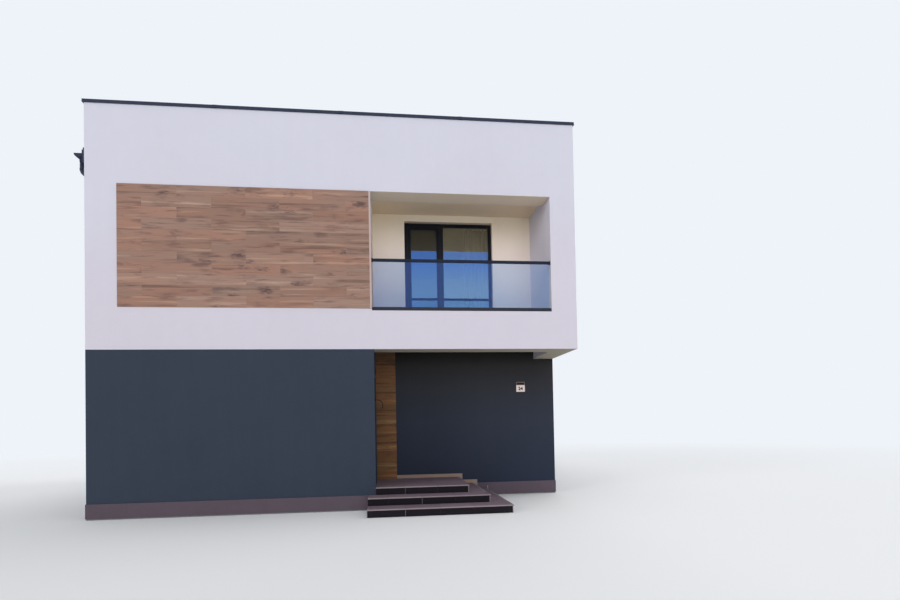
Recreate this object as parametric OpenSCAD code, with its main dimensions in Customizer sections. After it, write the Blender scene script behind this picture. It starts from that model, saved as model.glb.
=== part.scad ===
/* [Body] */
// Width of the house along its front
house_w = 9010; // [8400:10:10000]
// Depth of the house from the front face to the rear face
house_d = 10000; // [9000:10:12000]
// Thickness of the front walls
front_wall_t = 460; // [380:5:500]
// Thickness of the side, rear and inner recess walls
wall_t = 440; // [360:5:480]

/* [Levels] */
// Top of the tiled plinth, where the walls start
plinth_h = 280; // [240:5:340]
// Bare concrete left under the plinth tiles
plinth_gap = 20; // [10:5:60]
// Step from the landing up to the ground floor
threshold_h = 30; // [10:5:60]
// Underside of the white upper box
box_z = 3012; // [2900:2:3300]
// Height of the white box up to the coping
box_h = 4422; // [4200:2:4800]
// How far the box's beams hang below the first floor slab
beam_drop = 238; // [150:2:300]
// Thickness of the first floor with its screed
slab_t = 350; // [250:10:400]

/* [Porch] */
// Width of the closed block left of the porch
block_w = 5051; // [4900:1:5200]
// Depth of the porch behind the front face
porch_d = 1620; // [1550:5:1750]
// Width of the wood look strip on the porch wall
strip_w = 425; // [300:5:600]
// Thickness of all wall tiles
tile_t = 12; // [8:1:20]
// Height of the tile skirting above the treads
skirting_h = 72; // [50:1:100]
// How far the skirting runs on past each riser
skirting_end = 105; // [80:5:150]

/* [Steps] */
// Height of one riser
riser_h = 140; // [130:1:145]
// Depth of the two front treads
tread_d = 420; // [300:5:450]
// Depth of the two side treads
side_tread_d = 330; // [280:5:360]
// Width of the landing
landing_w = 1750; // [1500:5:2000]
// How far the steps start left of the porch corner
step_left = 136; // [50:2:200]
// Thickness of the tread slabs
tread_t = 20; // [15:1:30]
// Nosing of the tread slabs
nosing = 15; // [5:1:25]

/* [Balcony] */
// White wall right of the balcony opening
balcony_side = 501; // [480:1:560]
// How far the opening starts left of the porch corner
balcony_shift = 21; // [0:1:80]
// Front curb above the upper floor
curb_h = 141; // [80:1:220]
// Height of the balcony opening
balcony_h = 2256; // [2100:2:2400]
// Depth of the balcony behind the front face
balcony_d = 1500; // [1400:5:1600]
// How far the front beam hangs below the balcony ceiling
lintel_drop = 158; // [100:2:240]
// Thickness of the balcony ceiling board
ceiling_t = 60; // [30:5:80]
// Thickness of the balcony floor tiles and bed
balcony_floor_t = 50; // [30:5:80]

/* [Balcony rail] */
// Top of the handrail above the opening's lower edge
rail_rise = 994; // [900:1:1100]
// Height of the handrail
rail_h = 52; // [40:1:70]
// Depth of the handrail
rail_d = 46; // [40:1:60]
// Height of the base channel
channel_h = 72; // [60:1:90]
// Depth of the base channel
channel_d = 80; // [60:1:100]
// Distance from the front face to the base channel
channel_y = 20; // [0:1:60]
// Thickness of the glass
rail_glass_t = 12; // [8:1:20]
// Gap between rail and jamb at each end
rail_gap = 26; // [10:1:40]
// Height of the handrail end brackets
bracket_h = 64; // [56:1:100]

/* [Facade panel] */
// Left edge of the wood look tile panel
panel_x0 = 539; // [400:1:700]
// Lower edge of the panel above the balcony opening's edge
panel_lift = 34; // [0:1:80]
// Height of the panel
panel_h = 2220; // [2000:10:2400]
// White border between the panel and the balcony opening
panel_border = 33; // [20:1:60]

/* [Balcony door] */
// Distance of the door from the balcony's left wall
door_inset = 685; // [500:5:900]
// Width of the door opening
door_w = 1937; // [1700:1:2000]
// Height of the door opening above the balcony floor
door_h = 2362; // [2100:2:2400]
// Width of the opening leaf with its side of the frame
leaf_w = 785; // [650:5:950]
// Width of the door frame members
door_frame_w = 70; // [55:1:90]
// Width of the leaf members
sash_w = 72; // [60:1:100]
// Setback of the door and window frames in their openings
reveal = 110; // [60:5:200]
// Depth of the door and window frames
frame_d = 80; // [60:1:100]

/* [Entrance door] */
// Distance from the front face to the entrance opening
entrance_y0 = 540; // [500:5:560]
// Width of the entrance opening
entrance_w = 1000; // [900:5:1040]
// Height of the entrance opening
entrance_h = 2150; // [2050:5:2300]
// Thickness of the entrance leaf
entrance_t = 60; // [45:1:75]
// Length of the bar handle
bar_handle_l = 1000; // [600:10:1200]
// Diameter of the bar handle
bar_handle_dia = 32; // [20:1:40]

/* [Side windows] */
// Width of the narrow windows
narrow_w = 600; // [500:10:800]
// Width of the wide windows
wide_w = 1050; // [900:10:1070]
// Height of the windows
window_h = 1400; // [1100:10:1500]
// Sill height above each floor
sill_h = 900; // [800:10:1000]
// Centre of the front side window from the front face
side_front_y = 3200; // [2700:10:3600]
// Centre of the middle side window from the front face
side_middle_y = 5400; // [4900:10:6000]
// Centre of the rear side window from the rear face
side_rear_inset = 2200; // [1200:10:2600]
// Centre of the left rear window from the left side
rear_left_x = 2500; // [1600:10:3200]
// Centre of the right rear window from the right side
rear_right_inset = 2510; // [1600:10:3200]
// Width of the window frame members
window_frame_w = 65; // [50:1:80]
// Thickness of the double glazing
pane_t = 24; // [20:1:40]
// Thickness of the metal sills
sill_t = 20; // [10:1:30]
// Overhang of the metal sills
sill_out = 35; // [20:1:60]

/* [Roof] */
// How far the roof at the left eave lies below the parapet's top
eave_drop = 644; // [570:2:800]
// Overhang of the left eave
eave_out = 250; // [150:5:300]
// Pitch of the roof in degrees
pitch = 3; // [2:0.1:3.4]
// Thickness of the insulated roof deck
deck_t = 220; // [160:5:260]
// Thickness of the metal roof sheet
sheet_t = 8; // [4:1:12]
// Height of the standing seams
seam_h = 30; // [20:1:40]
// Width of the standing seams
seam_w = 12; // [8:1:16]
// Distance between the standing seams
seam_pitch = 520; // [450:10:650]
// Height of the parapet coping
coping_h = 58; // [40:1:70]
// Overhang of the coping
coping_out = 26; // [15:1:40]
// Thickness of the metal facing behind the parapets
facing_t = 6; // [3:1:10]
// Thickness of the eave board
fascia_t = 20; // [15:1:30]
// Height of the eave board
fascia_h = 240; // [200:5:260]
// How far the eave's end boards stand above the roof sheet
eave_lip = 27; // [0:1:40]

/* [Gutter] */
// Outside radius of the half round gutter
gutter_r = 75; // [60:1:85]
// Thickness of the gutter sheet
gutter_t = 4; // [3:1:6]
// Top of the gutter under the roof edge
gutter_drop = 50; // [30:5:80]
// Radius of the downpipe
pipe_r = 42; // [35:1:50]
// Gap between the downpipe and the wall
pipe_gap = 30; // [20:1:50]
// Distance from the gutter's front end to the downpipe
pipe_inset = 150; // [110:5:400]
// Length of the straight outlet under the gutter, down to the upper elbow
outlet_l = 215; // [80:5:260]
// Drop from the gutter to the lower elbow
neck_drop = 510; // [460:5:600]
// How far the elbow sockets stand out from the pipe
elbow_out = 5; // [3:1:10]
// Depth of the open bore at the pipe's lower end
bore_d = 300; // [100:50:600]
// Distance of the wall clips from the pipe's ends and from the white box
clip_inset = 600; // [400:50:900]
// Height of a wall clip
clip_h = 30; // [20:5:50]
// Width of a clip's wall bracket
clip_w = 20; // [12:2:40]
// Height of the downpipe's open end above the ground
pipe_end_z = 90; // [50:5:200]

/* [Small pieces] */
// Distance of the number plate from the right end of the porch wall
plate_inset = 655; // [400:5:900]
// Lower edge of the number plate above the ground floor
plate_lift = 1826; // [1500:2:2000]
// Width of the number plate
plate_w = 195; // [150:1:250]
// Height of the number plate
plate_h = 222; // [150:1:250]
// Thickness of the number plate
plate_t = 14; // [8:1:25]
// Distance of the wall hook from the front face
hook_y = 250; // [200:5:300]
// Height of the top of the wall hook above the landing
hook_lift = 1655; // [1500:5:1800]
// Radius of the hook's bend
hook_r = 100; // [80:1:120]
// Radius of the hook's bar
hook_bar_r = 7; // [5:0.5:10]
// How far the gathered curtain starts left of the door's right edge
curtain_inset = 572; // [450:2:650]
// Width of the gathered curtain
curtain_w = 720; // [600:5:760]
// Depth of the curtain's folds
curtain_d = 90; // [60:5:120]
// Gap between the curtain's hem and the floor
curtain_gap = 25; // [15:1:60]
// Thickness of the curtain track
track_t = 24; // [15:1:40]
// Width of the curtain track
track_w = 34; // [20:1:60]

/* [Hidden] */
$fn = 48;
// Inner faces of the outer walls
in_x0 = wall_t;
in_x1 = house_w - wall_t;
in_y0 = front_wall_t;
in_y1 = house_d - wall_t;
// Running clearance between glass and its grooves
glass_gap = 1;
// Depth of the grooves that hold glass
groove_d = 18;
// Depth that cutting solids pass beyond a face
cut = 50;
// Levels
landing_z = 3 * riser_h;
ground_floor_z = landing_z + threshold_h;
slab_z = box_z + beam_drop;
upper_floor_z = slab_z + slab_t;
parapet_z = box_z + box_h;
eave_z = parapet_z - eave_drop;
// Treads
upper_step_z = 2 * riser_h;
landing_x1 = block_w + landing_w;
upper_step_x1 = landing_x1 + side_tread_d;
lower_step_x1 = upper_step_x1 + side_tread_d;
step_x0 = block_w - step_left;
// Roof plane
slope = tan(pitch);
function roof_z(x) = eave_z + slope * (x + eave_out);
// Edges of the balcony opening and the tile panel
balcony_x0 = block_w - balcony_shift;
balcony_x1 = house_w - balcony_side;
balcony_z0 = upper_floor_z + curb_h;
balcony_z1 = balcony_z0 + balcony_h;
balcony_ceiling_z = balcony_z1 + lintel_drop;
panel_z0 = balcony_z0 + panel_lift;
// Places of the rail pieces
rail_top = balcony_z0 + rail_rise;
rail_x0 = balcony_x0 + rail_gap;
rail_x1 = balcony_x1 - rail_gap;
rail_y = channel_y + channel_d / 2;
// Gutter centre line
gutter_x = -eave_out - fascia_t - gutter_r;
gutter_z = eave_z - gutter_drop;
gutter_folds = 12;
pipe_x = -pipe_gap - pipe_r;
pipe_y = in_y0 + pipe_inset;
// Edges of the balcony door
door_x0 = balcony_x0 + door_inset;
door_x1 = door_x0 + door_w;
door_y0 = balcony_d + reveal;
door_y1 = door_y0 + frame_d;
door_z0 = upper_floor_z + balcony_floor_t;
door_z1 = door_z0 + door_h;
leaf_x1 = door_x0 + leaf_w;
leaf_z1 = door_z1 - door_frame_w;
fixed_x0 = leaf_x1 + door_frame_w;
// Curtain on the back face of the wall behind the balcony
curtain_x0 = door_x1 - curtain_inset;
curtain_y = balcony_d + wall_t;
track_z = door_z1 + track_t;
// Number plate and wall hook
plate_x = house_w - plate_inset - plate_w;
plate_z = ground_floor_z + plate_lift;
hook_z = landing_z + hook_lift;
// Window rows
side_rows = [
    [side_front_y, upper_floor_z, narrow_w],
    [side_middle_y, upper_floor_z, wide_w],
    [house_d - side_rear_inset, upper_floor_z, narrow_w],
    [side_middle_y, ground_floor_z, wide_w]
];
rear_rows = [
    [rear_left_x, upper_floor_z, wide_w],
    [house_w - rear_right_inset, upper_floor_z, wide_w],
    [rear_left_x, ground_floor_z, wide_w],
    [house_w - rear_right_inset, ground_floor_z, wide_w]
];

// Moves a shape drawn from the front left corner so that the footprint is centred
module from_corner() {
    translate([-house_w / 2, -house_d / 2, 0]) children();
}

// Block between two corners
module block(low, high) {
    translate(low) cube(high - low);
}

// Outline of the ground storey, grown outwards by a margin
module footprint(margin) {
    polygon([
        [-margin, -margin],
        [block_w + margin, -margin],
        [block_w + margin, porch_d - margin],
        [house_w + margin, porch_d - margin],
        [house_w + margin, house_d + margin],
        [-margin, house_d + margin]
    ]);
}

// Prism along the depth of the house, drawn as an outline of width and height
module along_depth(y0, y1) {
    translate([0, y1, 0]) rotate([90, 0, 0]) linear_extrude(y1 - y0) children();
}

// Space above the underside of the roof deck
module above_deck_underside() {
    along_depth(-cut, house_d + cut)
        polygon([
            [-eave_out - cut, roof_z(-eave_out - cut) - deck_t],
            [house_w + cut, roof_z(house_w + cut) - deck_t],
            [house_w + cut, parapet_z + 10 * cut],
            [-eave_out - cut, parapet_z + 10 * cut]
        ]);
}

// Places a window drawn at its sill's middle, with its depth running into the wall
module on_left(row) {
    translate([0, row[0], row[1] + sill_h]) rotate([0, 0, -90]) children();
}
module on_right(row) {
    translate([house_w, row[0], row[1] + sill_h]) rotate([0, 0, 90]) children();
}
module on_rear(row) {
    translate([row[0], house_d, row[1] + sill_h]) rotate([0, 0, 180]) children();
}

// Opening for one window, deeper than the wall
module window_hole(w) {
    block([-w / 2, -cut, 0], [w / 2, wall_t + cut, window_h]);
}

// Holes of one storey in a side or rear wall
module side_holes(floor_z) {
    for (row = side_rows)
        if (row[1] == floor_z) {
            on_left(row) window_hole(row[2]);
            on_right(row) window_hole(row[2]);
        }
}
module rear_holes(floor_z) {
    for (row = rear_rows)
        if (row[1] == floor_z) on_rear(row) window_hole(row[2]);
}

// Frame with a groove for its pane
module window_frame(w) {
    difference() {
        block([-w / 2, reveal, sill_t], [w / 2, reveal + frame_d, window_h]);
        block(
            [-w / 2 + window_frame_w, reveal - cut, sill_t + window_frame_w],
            [w / 2 - window_frame_w, reveal + frame_d + cut, window_h - window_frame_w]
        );
        window_groove(w, glass_gap);
    }
}

// Space that a pane takes up inside its frame, with a clearance around it
module window_groove(w, gap) {
    mid = reveal + frame_d / 2;
    grow = groove_d + gap;
    block(
        [-w / 2 + window_frame_w - grow, mid - pane_t / 2 - gap, sill_t + window_frame_w - groove_d],
        [w / 2 - window_frame_w + grow, mid + pane_t / 2 + gap, window_h - window_frame_w + grow]
    );
}

// Metal sill from the frame out over the wall face
module window_sill(w) {
    block([-w / 2, -sill_out, 0], [w / 2, reveal + frame_d, sill_t]);
}

// Solids of the steps and landing, used to cut the plinth tiles
module step_volume() {
    block([block_w, 0, 0], [landing_x1, porch_d, landing_z]);
    block([step_x0, -tread_d, 0], [upper_step_x1, porch_d, upper_step_z]);
    block([step_x0, -2 * tread_d, 0], [lower_step_x1, porch_d, riser_h]);
}

module foundation() {
    color("#8f959b") from_corner() linear_extrude(plinth_h) footprint(0);
}

module plinth_tiles() {
    color("#75655e") from_corner() {
        difference() {
            translate([0, 0, plinth_gap])
                linear_extrude(plinth_h - plinth_gap)
                    difference() {
                        footprint(tile_t);
                        footprint(0);
                    }
            translate([0, -nosing, 0]) step_volume();
            translate([nosing, 0, 0]) step_volume();
        }
        block(
            [block_w + strip_w, porch_d - tile_t, landing_z],
            [landing_x1 + skirting_end, porch_d, landing_z + skirting_h]
        );
        block(
            [landing_x1 + nosing, porch_d - tile_t, upper_step_z],
            [landing_x1 + skirting_end, porch_d, landing_z + skirting_h]
        );
        block(
            [landing_x1 + nosing, porch_d - tile_t, upper_step_z],
            [upper_step_x1 + skirting_end, porch_d, upper_step_z + skirting_h]
        );
    }
}

module ground_floor() {
    color("#b5b1aa") from_corner()
        difference() {
            block([in_x0, in_y0, plinth_h], [in_x1, in_y1, ground_floor_z]);
            block([block_w - wall_t, 0, 0], [house_w, porch_d + wall_t, ground_floor_z + cut]);
        }
}

module lower_front_wall() {
    color("#3c4653") from_corner() block([0, 0, plinth_h], [block_w, in_y0, box_z]);
}

module lower_left_wall() {
    color("#3c4653") from_corner()
        difference() {
            block([0, in_y0, plinth_h], [wall_t, in_y1, box_z]);
            side_holes(ground_floor_z);
        }
}

module lower_rear_wall() {
    color("#3c4653") from_corner()
        difference() {
            block([0, in_y1, plinth_h], [house_w, house_d, box_z]);
            rear_holes(ground_floor_z);
        }
}

module lower_right_wall() {
    color("#3c4653") from_corner()
        difference() {
            block([in_x1, porch_d + wall_t, plinth_h], [house_w, in_y1, box_z]);
            side_holes(ground_floor_z);
        }
}

module porch_return_wall() {
    color("#3c4653") from_corner()
        difference() {
            block([block_w - wall_t, in_y0, plinth_h], [block_w, porch_d + wall_t, slab_z]);
            block(
                [block_w - wall_t - cut, entrance_y0, ground_floor_z],
                [block_w + cut, entrance_y0 + entrance_w, ground_floor_z + entrance_h]
            );
        }
}

module porch_back_wall() {
    color("#2b313b") from_corner() {
        block([block_w, porch_d, plinth_h], [in_x1, porch_d + wall_t, slab_z]);
        block([in_x1, porch_d, plinth_h], [house_w, porch_d + wall_t, box_z]);
    }
}

module porch_wood_tiles() {
    color("#7a5638") from_corner()
        block([block_w, porch_d - tile_t, landing_z], [block_w + strip_w, porch_d, slab_z]);
}

module entrance_frame() {
    y1 = entrance_y0 + entrance_w;
    z1 = ground_floor_z + entrance_h;
    color("#22262b") from_corner()
        difference() {
            block([block_w - reveal - frame_d, entrance_y0, ground_floor_z], [block_w - reveal, y1, z1]);
            block(
                [
                    block_w - reveal - frame_d - cut,
                    entrance_y0 + door_frame_w,
                    ground_floor_z - cut
                ],
                [block_w - reveal + cut, y1 - door_frame_w, z1 - door_frame_w]
            );
        }
}

module entrance_leaf() {
    y0 = entrance_y0 + door_frame_w;
    y1 = entrance_y0 + entrance_w - door_frame_w;
    x1 = block_w - reveal;
    handle_y = y0 + 2 * door_frame_w;
    handle_z = ground_floor_z + (entrance_h - bar_handle_l) / 2;
    color("#2d3137") from_corner() {
        block(
            [x1 - entrance_t, y0, ground_floor_z],
            [x1, y1, ground_floor_z + entrance_h - door_frame_w]
        );
        translate([x1 + bar_handle_dia * 1.5, handle_y, handle_z])
            cylinder(h = bar_handle_l, d = bar_handle_dia);
        for (z = [bar_handle_l / 6, bar_handle_l * 5 / 6])
            translate([x1 - entrance_t / 4, handle_y, handle_z + z])
                rotate([0, 90, 0])
                    cylinder(h = entrance_t / 4 + bar_handle_dia * 1.5, d = bar_handle_dia / 2);
    }
}

module number_plate() {
    color("#d9d2c5") from_corner()
        block([plate_x, porch_d - plate_t, plate_z], [plate_x + plate_w, porch_d, plate_z + plate_h]);
}

module wall_hook() {
    plate_r = 3 * hook_bar_r;
    color("#1d1f22") from_corner()
        translate([block_w, hook_y, hook_z - hook_bar_r]) {
            rotate([0, 90, 0]) cylinder(h = hook_bar_r, r = plate_r);
            rotate([0, 90, 0]) cylinder(h = hook_r / 2, r = hook_bar_r);
            translate([hook_r / 2 - hook_bar_r, 0, 0])
                rotate([0, 90, 0]) cylinder(h = 2 * hook_bar_r, r = 1.4 * hook_bar_r);
            translate([hook_r / 2, 0, -hook_r])
                rotate([90, 0, 0])
                    rotate([0, 0, -40])
                        rotate_extrude(angle = 130)
                            translate([hook_r, 0]) circle(r = hook_bar_r);
        }
}

module landing() {
    color("#1c191b") from_corner()
        block([block_w, 0, 0], [landing_x1, porch_d, landing_z - tread_t]);
}

module upper_step() {
    color("#1c191b") from_corner()
        difference() {
            block([step_x0, -tread_d, 0], [upper_step_x1, porch_d, upper_step_z - tread_t]);
            block([step_x0 - cut, 0, -cut], [landing_x1, porch_d + cut, landing_z]);
        }
}

module lower_step() {
    color("#1c191b") from_corner()
        difference() {
            block([step_x0, -2 * tread_d, 0], [lower_step_x1, porch_d, riser_h - tread_t]);
            block([step_x0 - cut, -tread_d, -cut], [upper_step_x1, porch_d + cut, landing_z]);
        }
}

module step_treads() {
    color("#7a6f6a") from_corner() {
        block([block_w, -nosing, landing_z - tread_t], [landing_x1 + nosing, porch_d, landing_z]);
        difference() {
            block(
                [step_x0, -tread_d - nosing, upper_step_z - tread_t],
                [upper_step_x1 + nosing, porch_d, upper_step_z]
            );
            block([step_x0 - cut, 0, 0], [landing_x1, porch_d + cut, landing_z]);
        }
        difference() {
            block(
                [step_x0, -2 * tread_d - nosing, riser_h - tread_t],
                [lower_step_x1 + nosing, porch_d, riser_h]
            );
            block([step_x0 - cut, -tread_d, 0], [upper_step_x1, porch_d + cut, landing_z]);
        }
    }
}

module first_floor() {
    color("#cfccc6") from_corner()
        block([in_x0, in_y0, slab_z], [in_x1, in_y1, upper_floor_z]);
}

module upper_front_wall() {
    color("#e3e0e0") from_corner()
        difference() {
            block([0, 0, box_z], [house_w, in_y0, parapet_z]);
            block([balcony_x0, -cut, balcony_z0], [balcony_x1, in_y0 + cut, balcony_z1]);
        }
}

module upper_left_wall() {
    color("#e3e0e0") from_corner()
        difference() {
            block([0, in_y0, box_z], [wall_t, in_y1, parapet_z]);
            side_holes(upper_floor_z);
            above_deck_underside();
        }
}

module upper_rear_wall() {
    color("#e3e0e0") from_corner()
        difference() {
            block([0, in_y1, box_z], [house_w, house_d, parapet_z]);
            rear_holes(upper_floor_z);
        }
}

module upper_right_wall() {
    color("#e3e0e0") from_corner() {
        difference() {
            block([in_x1, in_y0, box_z], [house_w, in_y1, parapet_z]);
            side_holes(upper_floor_z);
        }
        block([balcony_x1, in_y0, upper_floor_z], [in_x1, balcony_d, balcony_ceiling_z]);
    }
}

module facade_tiles() {
    color("#86664f") from_corner()
        block([panel_x0, -tile_t, panel_z0], [balcony_x0 - panel_border, 0, panel_z0 + panel_h]);
}

module balcony_left_wall() {
    color("#e3e0e0") from_corner()
        difference() {
            block([balcony_x0 - wall_t, in_y0, upper_floor_z], [balcony_x0, balcony_d + wall_t, parapet_z]);
            above_deck_underside();
        }
}

module balcony_back_wall() {
    color("#e8dccb") from_corner()
        difference() {
            block([balcony_x0, balcony_d, upper_floor_z], [in_x1, balcony_d + wall_t, parapet_z]);
            block(
                [door_x0, balcony_d - cut, door_z0],
                [door_x1, balcony_d + wall_t + cut, door_z1]
            );
            above_deck_underside();
        }
}

module balcony_floor() {
    color("#8b8682") from_corner()
        block(
            [balcony_x0, in_y0, upper_floor_z],
            [balcony_x1, balcony_d, upper_floor_z + balcony_floor_t]
        );
}

module balcony_ceiling() {
    color("#e8dccb") from_corner()
        block(
            [balcony_x0, in_y0, balcony_ceiling_z],
            [in_x1, balcony_d, balcony_ceiling_z + ceiling_t]
        );
}

// Glass of the rail, grown by a clearance at its faces and ends
module rail_pane(gap) {
    block(
        [rail_x0 - gap, rail_y - rail_glass_t / 2 - gap, balcony_z0 + groove_d],
        [rail_x1 + gap, rail_y + rail_glass_t / 2 + gap, rail_top - rail_h + groove_d]
    );
}

module rail_channel() {
    color("#22262b") from_corner()
        difference() {
            block(
                [rail_x0, channel_y, balcony_z0],
                [rail_x1, channel_y + channel_d, balcony_z0 + channel_h]
            );
            rail_pane(glass_gap);
        }
}

module rail_glass() {
    color("#a9bcc8", 0.5) from_corner() rail_pane(0);
}

module handrail() {
    color("#22262b") from_corner() {
        difference() {
            block(
                [rail_x0, rail_y - rail_d / 2, rail_top - rail_h],
                [rail_x1, rail_y + rail_d / 2, rail_top]
            );
            block(
                [rail_x0 - cut, rail_y - rail_glass_t / 2 - glass_gap, rail_top - rail_h - cut],
                [rail_x1 + cut, rail_y + rail_glass_t / 2 + glass_gap, rail_top - rail_h + groove_d]
            );
        }
        for (x = [[balcony_x0, rail_x0], [rail_x1, balcony_x1]])
            block(
                [x[0], rail_y - rail_d / 2, rail_top - rail_h / 2 - bracket_h / 2],
                [x[1], rail_y + rail_d / 2, rail_top - rail_h / 2 + bracket_h / 2]
            );
    }
}

// Glass between two heights and widths, held in a groove
module door_pane(x0, x1, z0, z1, gap) {
    mid = (door_y0 + door_y1) / 2;
    block(
        [x0 - groove_d - gap, mid - pane_t / 2 - gap, z0 - groove_d],
        [x1 + groove_d + gap, mid + pane_t / 2 + gap, z1 + groove_d + gap]
    );
}

module leaf_pane(gap) {
    door_pane(
        door_x0 + door_frame_w + sash_w, leaf_x1 - sash_w,
        door_z0 + door_frame_w + sash_w, leaf_z1 - sash_w, gap
    );
}

module fixed_pane(gap) {
    door_pane(fixed_x0, door_x1 - door_frame_w, door_z0 + door_frame_w, leaf_z1, gap);
}

module balcony_door_frame() {
    color("#1f2329") from_corner()
        difference() {
            block([door_x0, door_y0, door_z0], [door_x1, door_y1, door_z1]);
            block(
                [door_x0 + door_frame_w, door_y0 - cut, door_z0 + door_frame_w],
                [leaf_x1, door_y1 + cut, leaf_z1]
            );
            block(
                [fixed_x0, door_y0 - cut, door_z0 + door_frame_w],
                [door_x1 - door_frame_w, door_y1 + cut, leaf_z1]
            );
            fixed_pane(glass_gap);
        }
}

module balcony_door_leaf() {
    color("#1f2329") from_corner()
        difference() {
            block(
                [door_x0 + door_frame_w, door_y0, door_z0 + door_frame_w],
                [leaf_x1, door_y1, leaf_z1]
            );
            block(
                [door_x0 + door_frame_w + sash_w, door_y0 - cut, door_z0 + door_frame_w + sash_w],
                [leaf_x1 - sash_w, door_y1 + cut, leaf_z1 - sash_w]
            );
            leaf_pane(glass_gap);
        }
}

module balcony_door_glass() {
    color("#4d6c95", 0.6) from_corner() {
        leaf_pane(0);
        fixed_pane(0);
    }
}

module curtain_track() {
    color("#dedede") from_corner()
        block(
            [door_x0, curtain_y, track_z],
            [curtain_x0 + curtain_w, curtain_y + track_w + curtain_d / 2, track_z + track_t]
        );
}

module curtain() {
    color("#b9b3a2") from_corner()
        block(
            [curtain_x0, curtain_y + track_w, upper_floor_z + curtain_gap],
            [curtain_x0 + curtain_w, curtain_y + track_w + curtain_d, track_z]
        );
}

module window_frames() {
    color("#1f2329") from_corner() {
        for (row = side_rows) {
            on_left(row) window_frame(row[2]);
            on_right(row) window_frame(row[2]);
        }
        for (row = rear_rows) on_rear(row) window_frame(row[2]);
    }
}

module window_glass() {
    color("#5c7796", 0.6) from_corner() {
        for (row = side_rows) {
            on_left(row) window_groove(row[2], 0);
            on_right(row) window_groove(row[2], 0);
        }
        for (row = rear_rows) on_rear(row) window_groove(row[2], 0);
    }
}

module window_sills() {
    color("#2a2e34") from_corner() {
        for (row = side_rows) {
            on_left(row) window_sill(row[2]);
            on_right(row) window_sill(row[2]);
        }
        for (row = rear_rows) on_rear(row) window_sill(row[2]);
    }
}

// Outline of a layer of the roof between two distances above the deck's top
module roof_layer(low, high, x1) {
    polygon([
        [-eave_out, roof_z(-eave_out) + low],
        [x1, roof_z(x1) + low],
        [x1, roof_z(x1) + high],
        [-eave_out, roof_z(-eave_out) + high]
    ]);
}

module roof_deck() {
    color("#a08a68") from_corner() along_depth(in_y0, in_y1) roof_layer(-deck_t, 0, in_x1);
}

module roof_sheet() {
    seams = floor((in_y1 - in_y0 - seam_w) / seam_pitch);
    first = (in_y0 + in_y1 - seams * seam_pitch - seam_w) / 2;
    color("#343a42") from_corner() {
        along_depth(in_y0, in_y1) roof_layer(0, sheet_t, in_x1);
        for (i = [0 : seams])
            along_depth(first + i * seam_pitch, first + i * seam_pitch + seam_w)
                roof_layer(0, sheet_t + seam_h, in_x1 - facing_t);
    }
}

module parapet_coping() {
    color("#262b31") from_corner()
        difference() {
            block(
                [-coping_out, -coping_out, parapet_z],
                [house_w + coping_out, house_d + coping_out, parapet_z + coping_h]
            );
            block(
                [-coping_out - cut, in_y0 + coping_out, parapet_z - cut],
                [in_x1 - coping_out, in_y1 - coping_out, parapet_z + coping_h + cut]
            );
        }
}

module parapet_facing() {
    color("#343a42") from_corner()
        difference() {
            block([0, in_y0, eave_z], [in_x1, in_y1, parapet_z]);
            block([-cut, in_y0 + facing_t, eave_z - cut], [in_x1 - facing_t, in_y1 - facing_t, parapet_z + cut]);
            along_depth(0, house_d)
                polygon([
                    [-eave_out - cut, roof_z(-eave_out - cut) + sheet_t],
                    [house_w, roof_z(house_w) + sheet_t],
                    [house_w, eave_z - 2 * cut],
                    [-eave_out - cut, eave_z - 2 * cut]
                ]);
        }
}

module eave_board() {
    top = eave_z + sheet_t;
    end_top = top + slope * eave_out + eave_lip;
    color("#262b31") from_corner() {
        block(
            [-eave_out - fascia_t, in_y0 - fascia_t, top - fascia_h],
            [-eave_out, in_y1 + fascia_t, top]
        );
        for (y = [in_y0 - fascia_t, in_y1])
            block([-eave_out, y, top - fascia_h], [0, y + fascia_t, end_top]);
    }
}

// Half round trough outline, folded from flat strips
module trough(r) {
    intersection() {
        circle(r = r, $fn = gutter_folds);
        translate([-r - cut, -r - cut]) square([2 * (r + cut), r + cut]);
    }
}

module gutter() {
    color("#2f353c") from_corner()
        difference() {
            along_depth(in_y0, in_y1) translate([gutter_x, gutter_z]) trough(gutter_r);
            along_depth(in_y0 + gutter_t, in_y1 - gutter_t)
                translate([gutter_x, gutter_z]) {
                    trough(gutter_r - gutter_t);
                    translate([-gutter_r, 0]) square([2 * gutter_r, cut]);
                }
            translate([gutter_x, pipe_y, gutter_z - gutter_r - cut])
                cylinder(h = 2 * cut, r = pipe_r - gutter_t);
        }
}

// Straight run of pipe between two points in the plane across the house
module pipe_run(a, b, r) {
    translate([a[0], pipe_y, a[1]])
        rotate([0, atan2(b[0] - a[0], b[1] - a[1]), 0])
            cylinder(h = norm(b - a), r = r);
}

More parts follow.
